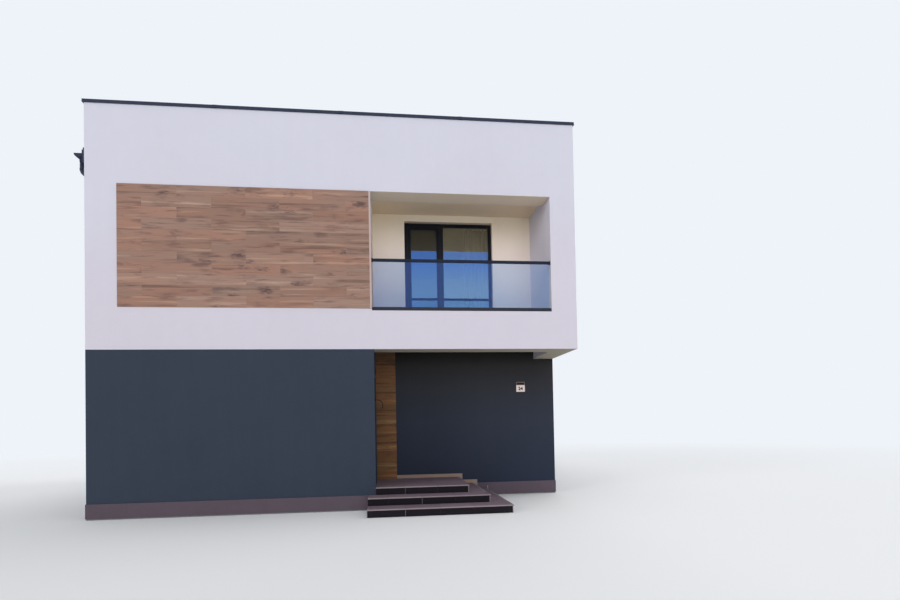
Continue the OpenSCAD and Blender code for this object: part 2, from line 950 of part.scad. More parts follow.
module downpipe() {
    knee = [gutter_x, gutter_z - gutter_r - outlet_l];
    heel = [pipe_x, gutter_z - neck_drop];
    top = gutter_z - gutter_r / 2;
    color("#2f353c") from_corner() {
        difference() {
            union() {
                pipe_run(knee, [gutter_x, top], pipe_r);
                pipe_run(heel, knee, pipe_r);
                pipe_run([pipe_x, pipe_end_z], heel, pipe_r);
                for (p = [knee, heel])
                    translate([p[0], pipe_y, p[1]]) sphere(r = pipe_r + elbow_out);
            }
            pipe_run([pipe_x, pipe_end_z - cut], [pipe_x, pipe_end_z + bore_d], pipe_r - gutter_t);
            pipe_run(knee, [gutter_x, top + cut], pipe_r - gutter_t);
            along_depth(in_y0, in_y1) translate([gutter_x, gutter_z]) trough(gutter_r);
        }
        for (z = [pipe_end_z + clip_inset, box_z - clip_inset, heel[1] - clip_inset])
            difference() {
                union() {
                    translate([pipe_x, pipe_y, z]) cylinder(h = clip_h, r = pipe_r + gutter_t);
                    block([pipe_x, pipe_y - clip_w / 2, z], [0, pipe_y + clip_w / 2, z + clip_h]);
                }
                translate([pipe_x, pipe_y, z - cut]) cylinder(h = 3 * cut, r = pipe_r - gutter_t / 2);
            }
    }
}

foundation();
plinth_tiles();
ground_floor();
lower_front_wall();
lower_left_wall();
lower_rear_wall();
lower_right_wall();
porch_return_wall();
porch_back_wall();
porch_wood_tiles();
entrance_frame();
entrance_leaf();
number_plate();
wall_hook();
landing();
upper_step();
lower_step();
step_treads();
first_floor();
upper_front_wall();
upper_left_wall();
upper_rear_wall();
upper_right_wall();
facade_tiles();
balcony_left_wall();
balcony_back_wall();
balcony_floor();
balcony_ceiling();
rail_channel();
rail_glass();
handrail();
balcony_door_frame();
balcony_door_leaf();
balcony_door_glass();
curtain_track();
curtain();
window_frames();
window_glass();
window_sills();
roof_deck();
roof_sheet();
parapet_coping();
parapet_facing();
eave_board();
gutter();
downpipe();
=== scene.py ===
"""Looks of the detached house: the finish of every surface and the small pieces around the solids.

Lengths are in metres in the row frame: X runs to the right, Y into the house and Z up. Level
ground is at Z 0, and the front face looks along -Y.
"""
import logging
import math
import random
from collections import defaultdict
from dataclasses import dataclass, field
from enum import Enum
from functools import partialmethod
from typing import Any, ClassVar, Iterable, Optional, Sequence, Union

import bmesh
import bpy
from mathutils import Matrix, Vector


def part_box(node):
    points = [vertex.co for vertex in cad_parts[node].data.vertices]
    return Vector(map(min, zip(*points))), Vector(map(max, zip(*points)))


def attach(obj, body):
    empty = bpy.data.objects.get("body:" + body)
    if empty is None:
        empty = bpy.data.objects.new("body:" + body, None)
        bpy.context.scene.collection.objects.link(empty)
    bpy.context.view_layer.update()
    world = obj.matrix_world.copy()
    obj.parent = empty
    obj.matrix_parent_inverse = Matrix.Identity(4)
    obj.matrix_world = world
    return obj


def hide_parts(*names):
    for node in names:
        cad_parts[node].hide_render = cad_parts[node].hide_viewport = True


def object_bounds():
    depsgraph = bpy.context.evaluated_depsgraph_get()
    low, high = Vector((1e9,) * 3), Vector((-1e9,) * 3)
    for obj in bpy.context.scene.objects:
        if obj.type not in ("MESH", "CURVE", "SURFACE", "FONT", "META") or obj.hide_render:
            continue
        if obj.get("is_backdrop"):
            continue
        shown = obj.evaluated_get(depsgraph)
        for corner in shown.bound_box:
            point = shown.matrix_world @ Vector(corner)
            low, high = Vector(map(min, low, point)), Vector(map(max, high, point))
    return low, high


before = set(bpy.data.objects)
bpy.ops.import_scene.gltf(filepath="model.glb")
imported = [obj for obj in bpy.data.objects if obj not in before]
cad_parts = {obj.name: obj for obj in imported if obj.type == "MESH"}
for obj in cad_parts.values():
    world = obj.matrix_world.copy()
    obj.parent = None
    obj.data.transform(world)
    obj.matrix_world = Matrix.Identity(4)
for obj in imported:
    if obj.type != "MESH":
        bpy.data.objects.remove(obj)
cad_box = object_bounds()
log = logging.getLogger("house")

Point = Union[Vector, tuple[float, float, float]]
Span = tuple[float, float]
Colour = tuple[float, float, float, float]


def tint(red: float, green: float, blue: float) -> Colour:
    """A linear colour from its three shares, as a coat on glass or a change of hue has it."""
    return (red, green, blue, 1.0)


def paint(red: int, green: int, blue: int) -> Colour:
    """Turns a screen colour into the linear colour that a shader takes.

    Args:
        red: Its red, from 0 to 255.
        green: Its green.
        blue: Its blue.

    Returns:
        The linear colour.
    """
    def linear(level: int) -> float:
        """One channel of the colour."""
        share = level / 255
        return share / 12.92 if share <= 0.04045 else ((share + 0.055) / 1.055) ** 2.4

    return tint(linear(red), linear(green), linear(blue))


# White render, written cool: its bluish tint is partly painted sky light
WHITE_RENDER = paint(210, 207, 218)
DARK_RENDER = paint(55, 63, 77)
ROOM_PLASTER = paint(238, 234, 224)
# Cream render of the balcony recess, written pale: its own cream, partly brightened as painted bounce light
CREAM_RENDER = paint(249, 233, 223)
# Undersides of the white and cream render: a cream colour, warmed further as painted bounce light from the
# ground
SOFFIT_PAINTED_BOUNCE = paint(220, 203, 182)
# Porch soffit: darker and warmer than the white render, as painted shade and warm bounce light
PORCH_SOFFIT_PAINTED_SHADE = paint(168, 162, 146)
# Specular level of matt mineral and coated surfaces
SHEEN = 0.2
# Height of the painted reflection line on the balcony door: a painted sky reflection below it, a painted
# reflection of the shaded soffit above it
PAINTED_REFLECTION_LINE = 5.41
# Ways into the house and up
BACK = Vector((0, 1, 0))
UP = Vector((0, 0, 1))
# Widths of eased edges, from crisp tile edges to the rounded corners of profiles
CRISP = 0.001
SOFT = 0.002
ROUND = 0.003
FULL = 0.004
# Levels of the steps, from the top down
LEVELS = ("landing", "upper_step", "lower_step")


# Shader maths

class Wire:
    """One output of a shader node, with operators that add the nodes for them."""

    def __init__(self, shader: "Shader", socket: bpy.types.NodeSocket) -> None:
        """Keeps the output and the material that it belongs to."""
        self.shader = shader
        self.socket = socket

    def _step(self, name: str, other: Any, turned: bool = False) -> "Wire":
        """Adds the node for one step of arithmetic.

        Args:
            name: The operation, as Math, Vector Math and Mix all call it.
            other: The other operand, a wire, a number or a tuple.
            turned: True if the other operand comes first.

        Returns:
            The result, a colour if either operand is one, or else a vector if either is one.
        """
        left, right = (other, self) if turned else (self, other)
        kinds = {Shader.kind(left), Shader.kind(right)}
        if "RGBA" in kinds:
            settings = {"data_type": "RGBA", "blend_type": name}
            return self.shader.node("ShaderNodeMix", settings, {0: 1.0, 6: left, 7: right}, 2)
        node = "ShaderNodeVectorMath" if "VECTOR" in kinds else "ShaderNodeMath"
        return self.shader.node(node, {"operation": name}, {0: left, 1: right})

    def maths(self, name: str, other: Any = 0.0) -> "Wire":
        """Any operation of the Math node on this number."""
        return self.shader.node("ShaderNodeMath", {"operation": name}, {0: self, 1: other})

    # Operators, with their reflected forms
    __add__ = partialmethod(_step, "ADD")
    __radd__ = partialmethod(_step, "ADD", turned=True)
    __sub__ = partialmethod(_step, "SUBTRACT")
    __rsub__ = partialmethod(_step, "SUBTRACT", turned=True)
    __mul__ = partialmethod(_step, "MULTIPLY")
    __rmul__ = partialmethod(_step, "MULTIPLY", turned=True)
    __truediv__ = partialmethod(_step, "DIVIDE")
    __gt__ = partialmethod(maths, "GREATER_THAN")
    __lt__ = partialmethod(maths, "LESS_THAN")

    def swing(self, width: float) -> "Wire":
        """Turns a share from 0 to 1 into a number that swings evenly to both sides of 0."""
        return (self - 0.5) * width

    def ramp(self, low: float, high: float) -> "Wire":
        """Rises smoothly from 0 at low to 1 at high, which may be the lower of the two."""
        inputs = {"Value": self, "From Min": low, "From Max": high}
        return self.shader.node("ShaderNodeMapRange", {"interpolation_type": "SMOOTHSTEP"}, inputs)

    def blend(self, low: Any, high: Any) -> "Wire":
        """Mixes two colours or numbers, with this value as the share of the second.

        Args:
            low: What shows where this value is 0.
            high: What shows where this value is 1.

        Returns:
            The mixture.
        """
        if "RGBA" in {Shader.kind(low), Shader.kind(high)}:
            inputs = {0: self, 6: low, 7: high}
            return self.shader.node("ShaderNodeMix", {"data_type": "RGBA"}, inputs, 2)
        return self.shader.node("ShaderNodeMix", {"data_type": "FLOAT"}, {0: self, 2: low, 3: high})


class Shader:
    """Node tree of one material or of the world."""

    def __init__(self, owner: Any) -> None:
        """Clears the nodes of a material or world, to build them anew."""
        owner.use_nodes = True
        self.tree = owner.node_tree
        self.tree.nodes.clear()

    @staticmethod
    def kind(value: Any) -> str:
        """Says what an operand is.

        Args:
            value: A wire, a number or a tuple.

        Returns:
            VALUE, VECTOR or RGBA, as a socket names it.
        """
        if isinstance(value, Wire):
            return value.socket.type
        if hasattr(value, "__len__"):
            return "RGBA" if len(value) == 4 else "VECTOR"
        return "VALUE"

    def node(
        self,
        name: str,
        settings: Optional[dict[str, Any]] = None,
        inputs: Optional[dict[Any, Any]] = None,
        output: Any = 0,
    ) -> Wire:
        """Adds any node.

        Args:
            name: Type of the node.
            settings: What is set on the node first. stops are a ramp's places and colours.
            inputs: Value or wire of each socket, by its name or its number.
            output: Name or number of the output that is wanted.

        Returns:
            That output.
        """
        made = self.tree.nodes.new(name)
        for key, value in (settings or {}).items():
            if key == "stops":
                self._stops(made.color_ramp, value)
            else:
                setattr(made, key, value)
        for key, value in (inputs or {}).items():
            self.feed(made.inputs[key], value)
        return Wire(self, made.outputs[output])

    def feed(self, socket: bpy.types.NodeSocket, value: Any) -> None:
        """Links a wire to a socket, or sets the socket to a plain value.

        Args:
            socket: The input.
            value: The wire or the value.
        """
        if isinstance(value, Wire):
            self.tree.links.new(value.socket, socket)
        elif socket.type in ("VECTOR", "RGBA") and not hasattr(value, "__len__"):
            socket.default_value = (value,) * 3 + (1.0,) * (socket.type == "RGBA")
        else:
            socket.default_value = value

    @staticmethod
    def _stops(band: bpy.types.ColorRamp, stops: Sequence[tuple[float, Colour]]) -> None:
        """Gives a colour ramp its stops, the first and last of which it already has.

        Args:
            band: The colour ramp.
            stops: Place and colour of each stop.
        """
        for place, _ in stops[1:-1]:
            band.elements.new(place)
        for element, (place, colour) in zip(band.elements, stops):
            element.position = place
            element.color = colour

    def place(self) -> Wire:
        """Place on the object, in metres in the row frame."""
        return self.node("ShaderNodeTexCoord", output="Object")

    def parts(self, vector: Wire) -> tuple[Wire, Wire, Wire]:
        """The three parts of a vector."""
        split = self.node("ShaderNodeSeparateXYZ", inputs={0: vector})
        return tuple(Wire(self, socket) for socket in split.socket.node.outputs)

    def tilt(self) -> Wire:
        """How far the surface looks up: 1 for a level top, 0 for a wall and -1 for an underside."""
        return self.parts(self.node("ShaderNodeNewGeometry", output="Normal"))[2]

    def vector(self, x: Any, y: Any, z: Any) -> Wire:
        """A vector from three numbers or wires."""
        return self.node("ShaderNodeCombineXYZ", inputs={0: x, 1: y, 2: z})

    def noise(self, scale: float, detail: float = 3.0, at: Optional[Wire] = None) -> Wire:
        """Cloudy noise from 0 to 1, read at a vector or else at the place on the object."""
        inputs = {"Vector": self.place() if at is None else at, "Scale": scale, "Detail": detail}
        return self.node("ShaderNodeTexNoise", None, inputs)

    def drawn(self, detail: float, x: Any, y: Any, z: Any) -> Wire:
        """Noise read at three numbers, so that it can be drawn out differently along each axis."""
        return self.noise(1.0, detail, self.vector(x, y, z))

    def tone(self) -> Wire:
        """The number between 0 and 1 that each tile or plank carries."""
        return self.node("ShaderNodeAttribute", {"attribute_name": "tone"}, output="Fac")

    def bump(self, height: Wire, depth: float, under: Optional[Wire] = None) -> Wire:
        """Relief of a surface.

        Args:
            height: Height from 0 to 1.
            depth: What a height of 1 stands for, in metres.
            under: A coarser relief that this one lies on.

        Returns:
            The normal.
        """
        inputs = {"Height": height, "Distance": depth}
        if under is not None:
            inputs["Normal"] = under
        return self.node("ShaderNodeBump", None, inputs, "Normal")

    def principled(self, colour: Any, roughness: Any, **more: Any) -> Wire:
        """A Principled surface.

        Args:
            colour: Its base colour.
            roughness: Its roughness.
            **more: Other sockets, named with a _ for each space.

        Returns:
            The shader.
        """
        inputs = {"Base Color": colour, "Roughness": roughness}
        inputs.update({key.replace("_", " "): value for key, value in more.items()})
        return self.node("ShaderNodeBsdfPrincipled", None, inputs)

    def mix(self, share: Any, first: Wire, second: Wire) -> Wire:
        """Mixes two shaders."""
        return self.node("ShaderNodeMixShader", None, {0: share, 1: first, 2: second})

    def glass(self, share: Any, clear: Colour, coat: Any, rough: Any) -> Wire:
        """Glass that mirrors a share of the light and lets the rest through.

        Args:
            share: The mirrored share.
            clear: Colour of what passes through.
            coat: Colour of what is mirrored.
            rough: Roughness of the mirror.

        Returns:
            The shader.
        """
        mirror = self.principled(coat, rough, Metallic=1.0)
        through = self.node("ShaderNodeBsdfTransparent", None, {"Color": clear})
        return self.mix(share, through, mirror)

    def outside(self) -> Wire:
        """Gives 1 on the faces of a pane that are seen from their front."""
        return 1 - self.node("ShaderNodeNewGeometry", output="Backfacing")

    def show(self, surface: Wire, output: str = "ShaderNodeOutputMaterial") -> None:
        """Makes a shader what the owner shows."""
        self.feed(self.tree.nodes.new(output).inputs["Surface"], surface)


# Faces and levels of the solids

@dataclass(frozen=True)
class Box:
    """Lowest and highest corner of a solid."""

    low: Vector
    high: Vector

    @classmethod
    def of(cls, node: str) -> "Box":
        """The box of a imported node."""
        return cls(*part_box(node))

    @property
    def middle(self) -> Vector:
        """Middle of the box."""
        return (self.low + self.high) / 2

    @property
    def size(self) -> Vector:
        """Length of the box along each axis."""
        return self.high - self.low


def islands(node: str) -> list[Box]:
    """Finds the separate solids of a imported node.

    Args:
        node: Name of the node.

    Returns:
        The box of each solid, in a fixed order.
    """
    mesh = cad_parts[node].data
    keys = [tuple(round(value, 4) for value in vertex.co) for vertex in mesh.vertices]
    leader: dict[tuple, tuple] = {key: key for key in keys}

    def lead(key: tuple) -> tuple:
        """Finds the point that stands for all the points joined to this one.

        Args:
            key: The point, as three rounded numbers.

        Returns:
            The point that stands for it.
        """
        while leader[key] != key:
            leader[key] = leader[leader[key]]
            key = leader[key]
        return key

    for face in mesh.polygons:
        first = lead(keys[face.vertices[0]])
        for index in face.vertices[1:]:
            leader[lead(keys[index])] = first
    groups: dict[tuple, list[tuple]] = {}
    for key in leader:
        groups.setdefault(lead(key), []).append(key)
    boxes = [
        Box(Vector(map(min, zip(*group))), Vector(map(max, zip(*group))))
        for group in groups.values()
    ]
    return sorted(boxes, key=lambda box: tuple(box.low))


# Meshes

class Shape:
    """A mesh that is put together from closed bodies in the row frame."""

    def __init__(self) -> None:
        """Starts with nothing in it."""
        self.points: list[Vector] = []
        self.faces: list[tuple[int, ...]] = []
        self.tones: list[float] = []
        self.rounded: list[bool] = []

    def add(
        self,
        points: Iterable[Point],
        faces: Iterable[Sequence[int]],
        tone: float = 0.5,
        rounded: Optional[Sequence[bool]] = None,
    ) -> None:
        """Adds points and the faces between them.

        Args:
            points: Corners.
            faces: Indices of each face's corners in points.
            tone: Number that the faces carry for their finish.
            rounded: For each face, True if it is shaded smoothly. None shades none so.
        """
        start = len(self.points)
        added = [tuple(start + index for index in face) for face in faces]
        self.points.extend(Vector(point) for point in points)
        self.faces.extend(added)
        self.tones.extend([tone] * len(added))
        self.rounded.extend(rounded or [False] * len(added))

    def block(self, low: Point, high: Point, eased: float = 0.0, tone: float = 0.5) -> None:
        """Adds a rectangular block whose edges are chamfered.

        Args:
            low: One corner.
            high: The opposite corner, in any order along each axis.
            eased: Width of the chamfer, 0 for sharp edges.
            tone: Number that its faces carry.
        """
        low, high = Vector(map(min, low, high)), Vector(map(max, low, high))
        signs = [(a, b, c) for a in (0, 1) for b in (0, 1) for c in (0, 1)]
        ends = (low, high)
        if eased <= 0:
            points = [tuple(ends[s[axis]][axis] for axis in range(3)) for s in signs]
            faces = [(0, 1, 3, 2), (4, 6, 7, 5), (0, 4, 5, 1), (2, 3, 7, 6), (0, 2, 6, 4), (1, 5, 7, 3)]
            self.add(points, faces, tone)
            return
        keys = [(sign, axis) for sign in signs for axis in range(3)]
        index = {key: number for number, key in enumerate(keys)}
        points = [
            [
                ends[sign[other]][other] + (0 if other == axis else eased * (1 - 2 * sign[other]))
                for other in range(3)
            ]
            for sign, axis in keys
        ]
        faces = [[index[sign, axis] for axis in range(3)] for sign in signs]
        for axis in range(3):
            one, two = [other for other in range(3) if other != axis]

            def corner(end: int, a: int, b: int) -> tuple[int, ...]:
                """The corner at an end of this axis, and at a and b of the other two."""
                sign = [0, 0, 0]
                sign[axis], sign[one], sign[two] = end, a, b
                return tuple(sign)

            turns = ((0, 0), (0, 1), (1, 1), (1, 0))
            faces += [[index[corner(end, a, b), axis] for a, b in turns] for end in (0, 1)]
            for a, b in turns:
                near, far = corner(0, a, b), corner(1, a, b)
                faces.append([index[near, one], index[far, one], index[far, two], index[near, two]])
        self.add(points, faces, tone)

    def rings(self, loops: Sequence[Sequence[Point]], closed: bool = False, smooth: bool = True) -> None:
        """Joins loops of points into a skin.

        Args:
            loops: Loops with the same number of points each.
            closed: True if the last loop joins the first, False if both ends get a cap.
            smooth: True if the skin is shaded smoothly.
        """
        count = len(loops[0])
        points = [point for loop in loops for point in loop]
        spans = len(loops) if closed else len(loops) - 1
        faces: list[Sequence[int]] = []
        for span in range(spans):
            here, there = span * count, (span + 1) % len(loops) * count
            for i in range(count):
                j = (i + 1) % count
                faces.append((here + i, here + j, there + j, there + i))
        rounded = [smooth] * len(faces)
        if not closed:
            faces.append(tuple(range(count)))
            faces.append(tuple(range(len(points) - count, len(points))))
            rounded += [False, False]
        self.add(points, faces, rounded=rounded)

    def tube(self, path: Sequence[Point], radius: float, sides: int = 24) -> None:
        """Adds a round bar along a path.

        Args:
            path: Points of its centre line.
            radius: Its radius.
            sides: Number of flats round it.
        """
        path = [Vector(point) for point in path]
        ways = [(b - a).normalized() for a, b in zip(path, path[1:])]
        across = ways[0].orthogonal().normalized()
        loops = []
        for i, point in enumerate(path):
            way = (ways[max(i - 1, 0)] + ways[min(i, len(ways) - 1)]).normalized()
            across = (across - way * across.dot(way)).normalized()
            side = way.cross(across)
            angles = [math.tau * k / sides for k in range(sides)]
            loops.append([point + (across * math.cos(a) + side * math.sin(a)) * radius for a in angles])
        self.rings(loops)

    def prism(self, outline: Sequence[Point], step: Point, smooth: bool = False) -> None:
        """Adds a prism between an outline and the same outline one step further."""
        self.rings([outline, [Vector(point) + Vector(step) for point in outline]], smooth=smooth)

    def sweep(self, profile: Sequence[tuple[float, float]], path: Sequence[Point]) -> None:
        """Runs a profile along a level path, with mitred corners.

        Args:
            profile: Points as distance to the left of the path and height over it.
            path: Points of the path.
        """
        path = [Vector(point) for point in path]
        ways = [(b - a).normalized() for a, b in zip(path, path[1:])]
        loops = []
        for i, point in enumerate(path):
            before, after = ways[max(i - 1, 0)], ways[min(i, len(ways) - 1)]
            left = Vector((-before.y - after.y, before.x + after.x, 0)).normalized()
            reach = 1 / max(left.dot(Vector((-after.y, after.x, 0))), 0.2)
            loops.append([point + left * (reach * side) + UP * rise for side, rise in profile])
        self.rings(loops, smooth=False)

    def make(
        self, name: str, finish: "Palette", slot: str, replaces: Sequence[str] = ()
    ) -> bpy.types.Object:
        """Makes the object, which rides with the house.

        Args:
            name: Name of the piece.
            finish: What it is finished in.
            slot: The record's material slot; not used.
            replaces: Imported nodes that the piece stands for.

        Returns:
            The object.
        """
        mesh = bpy.data.meshes.new(name)
        mesh.from_pydata([tuple(point) for point in self.points], [], self.faces)
        mesh.attributes.new("tone", "FLOAT", "FACE").data.foreach_set("value", self.tones)
        mesh.polygons.foreach_set("use_smooth", self.rounded)
        work = bmesh.new()
        work.from_mesh(mesh)
        bmesh.ops.recalc_face_normals(work, faces=work.faces)
        work.to_mesh(mesh)
        work.free()
        made = mount(name, mesh, finish)
        if replaces:
            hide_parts(*replaces)
        return made


def mount(name: str, mesh: bpy.types.Mesh, finish: "Palette") -> bpy.types.Object:
    """Puts a finished mesh on the house.

    Args:
        name: Name of the piece.
        mesh: Its mesh.
        finish: What it is finished in.

    Returns:
        The object.
    """
    mesh.materials.clear()
    mesh.materials.append(finish.value.material())
    made = bpy.data.objects.new(name, mesh)
    bpy.context.scene.collection.objects.link(made)
    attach(made, "root")
    log.info("%s: %d faces", name, len(mesh.polygons))
    return made


def courses(low: float, high: float, joint_at: float, pitch: float, gap: float) -> list[Span]:
    """Splits a length into tiles.

    Args:
        low: Where the length starts.
        high: Where it ends.
        joint_at: Place of any one joint, which need not lie on the length.
        pitch: Distance between joints.
        gap: Width of a joint.

    Returns:
        Start and end of each tile, cut pieces included.
    """
    first = joint_at + math.floor((low - joint_at) / pitch) * pitch
    tiles = []
    for i in range(math.ceil((high - first) / pitch) + 1):
        start = max(low, first + i * pitch + gap / 2)
        end = min(high, first + (i + 1) * pitch - gap / 2)
        if end - start > 2 * gap:
            tiles.append((start, end))
    return tiles


# Finishes

@dataclass(frozen=True)
class Finish:
    """The look of one kind of surface."""

    name: str
    made: ClassVar[dict[str, bpy.types.Material]] = {}

    def material(self) -> bpy.types.Material:
        """The finish as a material, which is made once."""
        if self.name not in self.made:
            material = bpy.data.materials.new(self.name)
            self.made[self.name] = material
            shader = Shader(material)
            shader.show(self.surface(shader))
        return self.made[self.name]

    def surface(self, shader: Shader) -> Wire:
        """Builds the finish's nodes.

        Args:
            shader: The material's node tree.

        Returns:
            The finish's shader.
        """
        raise NotImplementedError


@dataclass(frozen=True)
class Render(Finish):
    """Floated wall render with a fine grain. Faces inside the rooms are smooth plaster."""

    colour: Colour
    # Colour of faces that look down: painted bounce light and shade where it differs from colour
    underside: Colour
    cloud: float = 0.05
    wash: float = 0.03
    grain: float = 0.10
    grain_depth: float = 0.0011
    trowel_depth: float = 0.004
    frame_depth: float = 0.15
    warm: Colour = tint(0.99, 0.96, 0.955)
    cool: Colour = tint(0.985, 1.004, 1.014)
    middle: float = 5.5
    # Colour of undersides below low_level, the porch soffit: painted shade and warm bounce light
    painted_porch_underside: Colour = PORCH_SOFFIT_PAINTED_SHADE
    low_level: float = 4.5
    # Stops of painted light and shade over the height, as shares of soffit; none leaves colour even
    painted_shading: tuple[tuple[float, Colour], ...] = ()
    soffit: float = 3.25

    def surface(self, shader: Shader) -> Wire:
        """Builds the render, with undersides in a colour of their own that paints bounce light and shade on
        them, and painted shading that ramps with height up to a soffit.
        """
        x, y, z = shader.parts(shader.place())
        broad = shader.noise(0.55, 5.0)
        trowel = shader.noise(6.5, 4.0)
        grain = shader.noise(420.0, 2.0)
        streaks = shader.drawn(4.0, x * 5.0, y * 5.0, z * 0.35)
        tone = 1.0 + broad.swing(2 * self.cloud) + trowel.swing(self.cloud)
        tone = tone + grain.swing(self.grain) + streaks.swing(2 * self.wash)
        # Faces that look down take the underside colours: painted bounce light and shade
        below = shader.tilt().ramp(-0.4, -0.8)
        base: Union[Wire, Colour] = self.colour
        # Painted shading: the colour ramps with height up to the soffit
        if self.painted_shading:
            height = {"Fac": z / self.soffit}
            base = shader.node("ShaderNodeValToRGB", {"stops": self.painted_shading}, height, "Color")
        underside = (z > self.low_level).blend(self.painted_porch_underside, self.underside)
        colour = tone * below.blend(base, underside) * self._hue(shader, z)
        colour = self._room(x, y, z).blend(colour, ROOM_PLASTER)
        relief = shader.bump(grain, self.grain_depth, shader.bump(trowel, self.trowel_depth))
        rough = 0.9 + broad.swing(0.12)
        return shader.principled(colour, rough, Normal=relief, Specular_IOR_Level=SHEEN)

    def _hue(self, shader: Shader, z: Wire) -> Wire:
        """Warms the lower parts and cools the upper ones, in soft clouds."""
        share = (shader.noise(0.42, 2.0) * 0.6 + 0.2 + (self.middle - z) * 0.12).ramp(0.3, 0.7)
        return share.blend(self.cool, self.warm)

    def _room(self, x: Wire, y: Wire, z: Wire) -> Wire:
        """Gives 1 on faces inside the rooms.

        Args:
            x: Place across the house.
            y: Place along the house.
            z: Height.

        Returns:
            The mask.
        """
        outer = Box.of("foundation")
        recess = Box.of("porch_back_wall")
        depth = self.frame_depth
        inside = (x > outer.low.x + depth) * (x < outer.high.x - depth)
        inside = inside * (y > outer.low.y + depth) * (y < outer.high.y - depth)
        notch = (x > recess.low.x - depth) * (y < recess.low.y + depth)
        return inside * (1 - notch) * (z < Box.of("roof_deck").high.z)


@dataclass(frozen=True)
class Planks(Finish):
    """Porcelain with a printed oak grain along X, which differs from plank to plank."""

    dark: Colour
    middle: Colour
    light: Colour
    knot: Colour
    red: Colour = tint(1.07, 0.965, 0.92)
    grey: Colour = tint(0.98, 1.005, 1.02)
    marked: float = 0.85
    spread: float = 0.22
    relief: float = 0.0005

    def surface(self, shader: Shader) -> Wire:
        """Builds the grain, its streaks and knots, and the tone of each plank."""
        plank = shader.tone()
        x, _, z = shader.parts(shader.place())
        along = x + plank * 47.0
        across = z + plank * 23.0
        sway = shader.drawn(2.0, along * 1.3, 0.0, across * 2.0) - 0.5
        bands = shader.drawn(5.0, along * 0.5, plank * 9.0, across * 15.0 + sway * 0.8)
        lines = shader.drawn(4.0, along * 1.5, plank * 5.0, across * 50.0 + sway * 3.0)
        pores = shader.drawn(2.0, along * 16.0, plank, across * 520.0)
        stops = [(0.35, self.dark), (0.45, self.middle), (0.56, self.middle), (0.67, self.light)]
        grain = {"Fac": bands * 0.75 + lines * 0.25}
        colour = shader.node("ShaderNodeValToRGB", {"stops": stops}, grain, "Color")
        hue = shader.drawn(2.0, along * 0.8, plank * 3.0, across * 5.0)
        warm = (plank * 7.31).maths("FRACT") * 0.7 + hue.swing(1.6)
        colour = colour * warm.ramp(-0.1, 0.75).blend(self.grey, self.red)
        marks = self._marks(shader, along, across, plank)
        colour = (marks * self.marked).blend(colour, self.knot)
        tone = 0.88 + plank * self.spread + pores.swing(0.08)
        normal = shader.bump(lines * 0.7 + pores * 0.3, self.relief)
        rough = 0.6 + lines.swing(0.2)
        return shader.principled(colour * tone, rough, Normal=normal, Specular_IOR_Level=SHEEN)

    @staticmethod
    def _marks(shader: Shader, along: Wire, across: Wire, plank: Wire) -> Wire:
        """Long thin dark streaks, the shadowy stains between them, and knots with ragged smudges.

        Args:
            shader: The material.
            along: Place along the plank.
            across: Place across the plank.
            plank: Number of the plank.

        Returns:
            How dark the mark is, from 0 to 1.
        """
        veins = shader.drawn(5.0, along * 2.2, plank * 4.0, across * 21.0)
        stains = shader.drawn(5.0, along * 1.6, plank * 6.0, across * 6.0)
        streaks = (veins.ramp(0.54, 0.78) * 0.75).maths("MAXIMUM", stains.ramp(0.52, 0.74) * 0.7)
        ragged = shader.drawn(4.0, along * 12.0, plank, across * 40.0).swing(0.55)
        where = shader.vector(along * 1.5, plank * 7.0, across * 3.4)
        near = shader.node("ShaderNodeTexVoronoi", None, {"Vector": where, "Scale": 1.0}, "Distance")
        chosen = shader.noise(1.0, 1.0, where * 0.7).ramp(0.38, 0.47)
        return streaks.maths("MAXIMUM", (near + ragged).ramp(0.34, 0.03) * chosen * 0.95)


@dataclass(frozen=True)
class Stone(Finish):
    """Fine porcelain stoneware or concrete, mottled, with a tone of its own on each tile."""

    colour: Colour
    mottle: float = 0.10
    spread: float = 0.10
    roughness: float = 0.55
    pit: float = 0.0004
    wave: float = 0.0012

    def surface(self, shader: Shader) -> Wire:
        """Builds the mottling."""
        broad = shader.noise(3.2, 6.0)
        veins = shader.noise(14.0, 5.0)
        fine = shader.noise(120.0, 3.0)
        tone = 1.0 + broad.swing(2 * self.mottle) + veins.swing(self.mottle)
        tone = tone + fine.swing(self.mottle) + shader.tone().swing(self.spread)
        relief = shader.bump(fine, self.pit, shader.bump(broad, self.wave))
        rough = self.roughness + veins.swing(0.15)
        return shader.principled(tone * self.colour, rough, Normal=relief, Specular_IOR_Level=SHEEN)


@dataclass(frozen=True)
class Coating(Finish):
    """Powder coated or prepainted metal, with a little dust on faces that look up."""

    colour: Colour
    roughness: float = 0.42
    ripple: float = 0.0
    dust: float = 0.05
    dust_colour: Colour = paint(150, 146, 138)
    peel: float = 0.00012

    def surface(self, shader: Shader) -> Wire:
        """Builds the coat."""
        peel = shader.noise(900.0, 2.0)
        broad = shader.noise(1.7, 4.0)
        dusty = shader.tilt().ramp(0.3, 1.0) * (broad * self.dust)
        colour = dusty.blend((0.96 + broad * 0.08) * self.colour, self.dust_colour)
        under = shader.bump(shader.noise(2.6, 1.0), self.ripple) if self.ripple else None
        relief = shader.bump(peel, self.peel, under)
        rough = self.roughness + broad.swing(0.14)
        return shader.principled(colour, rough, Normal=relief, Specular_IOR_Level=SHEEN)


@dataclass(frozen=True)
class Metal(Finish):
    """Bare brushed metal."""

    colour: Colour
    roughness: float = 0.32
    scratch: float = 0.00008

    def surface(self, shader: Shader) -> Wire:
        """Builds the brushed metal."""
        x, y, z = shader.parts(shader.place())
        brushed = shader.drawn(3.0, x * 60.0, y * 60.0, z * 900.0)
        tone = 0.94 + brushed * 0.12
        relief = shader.bump(brushed, self.scratch)
        rough = self.roughness + brushed.swing(0.1)
        return shader.principled(tone * self.colour, rough, Metallic=1.0, Normal=relief)


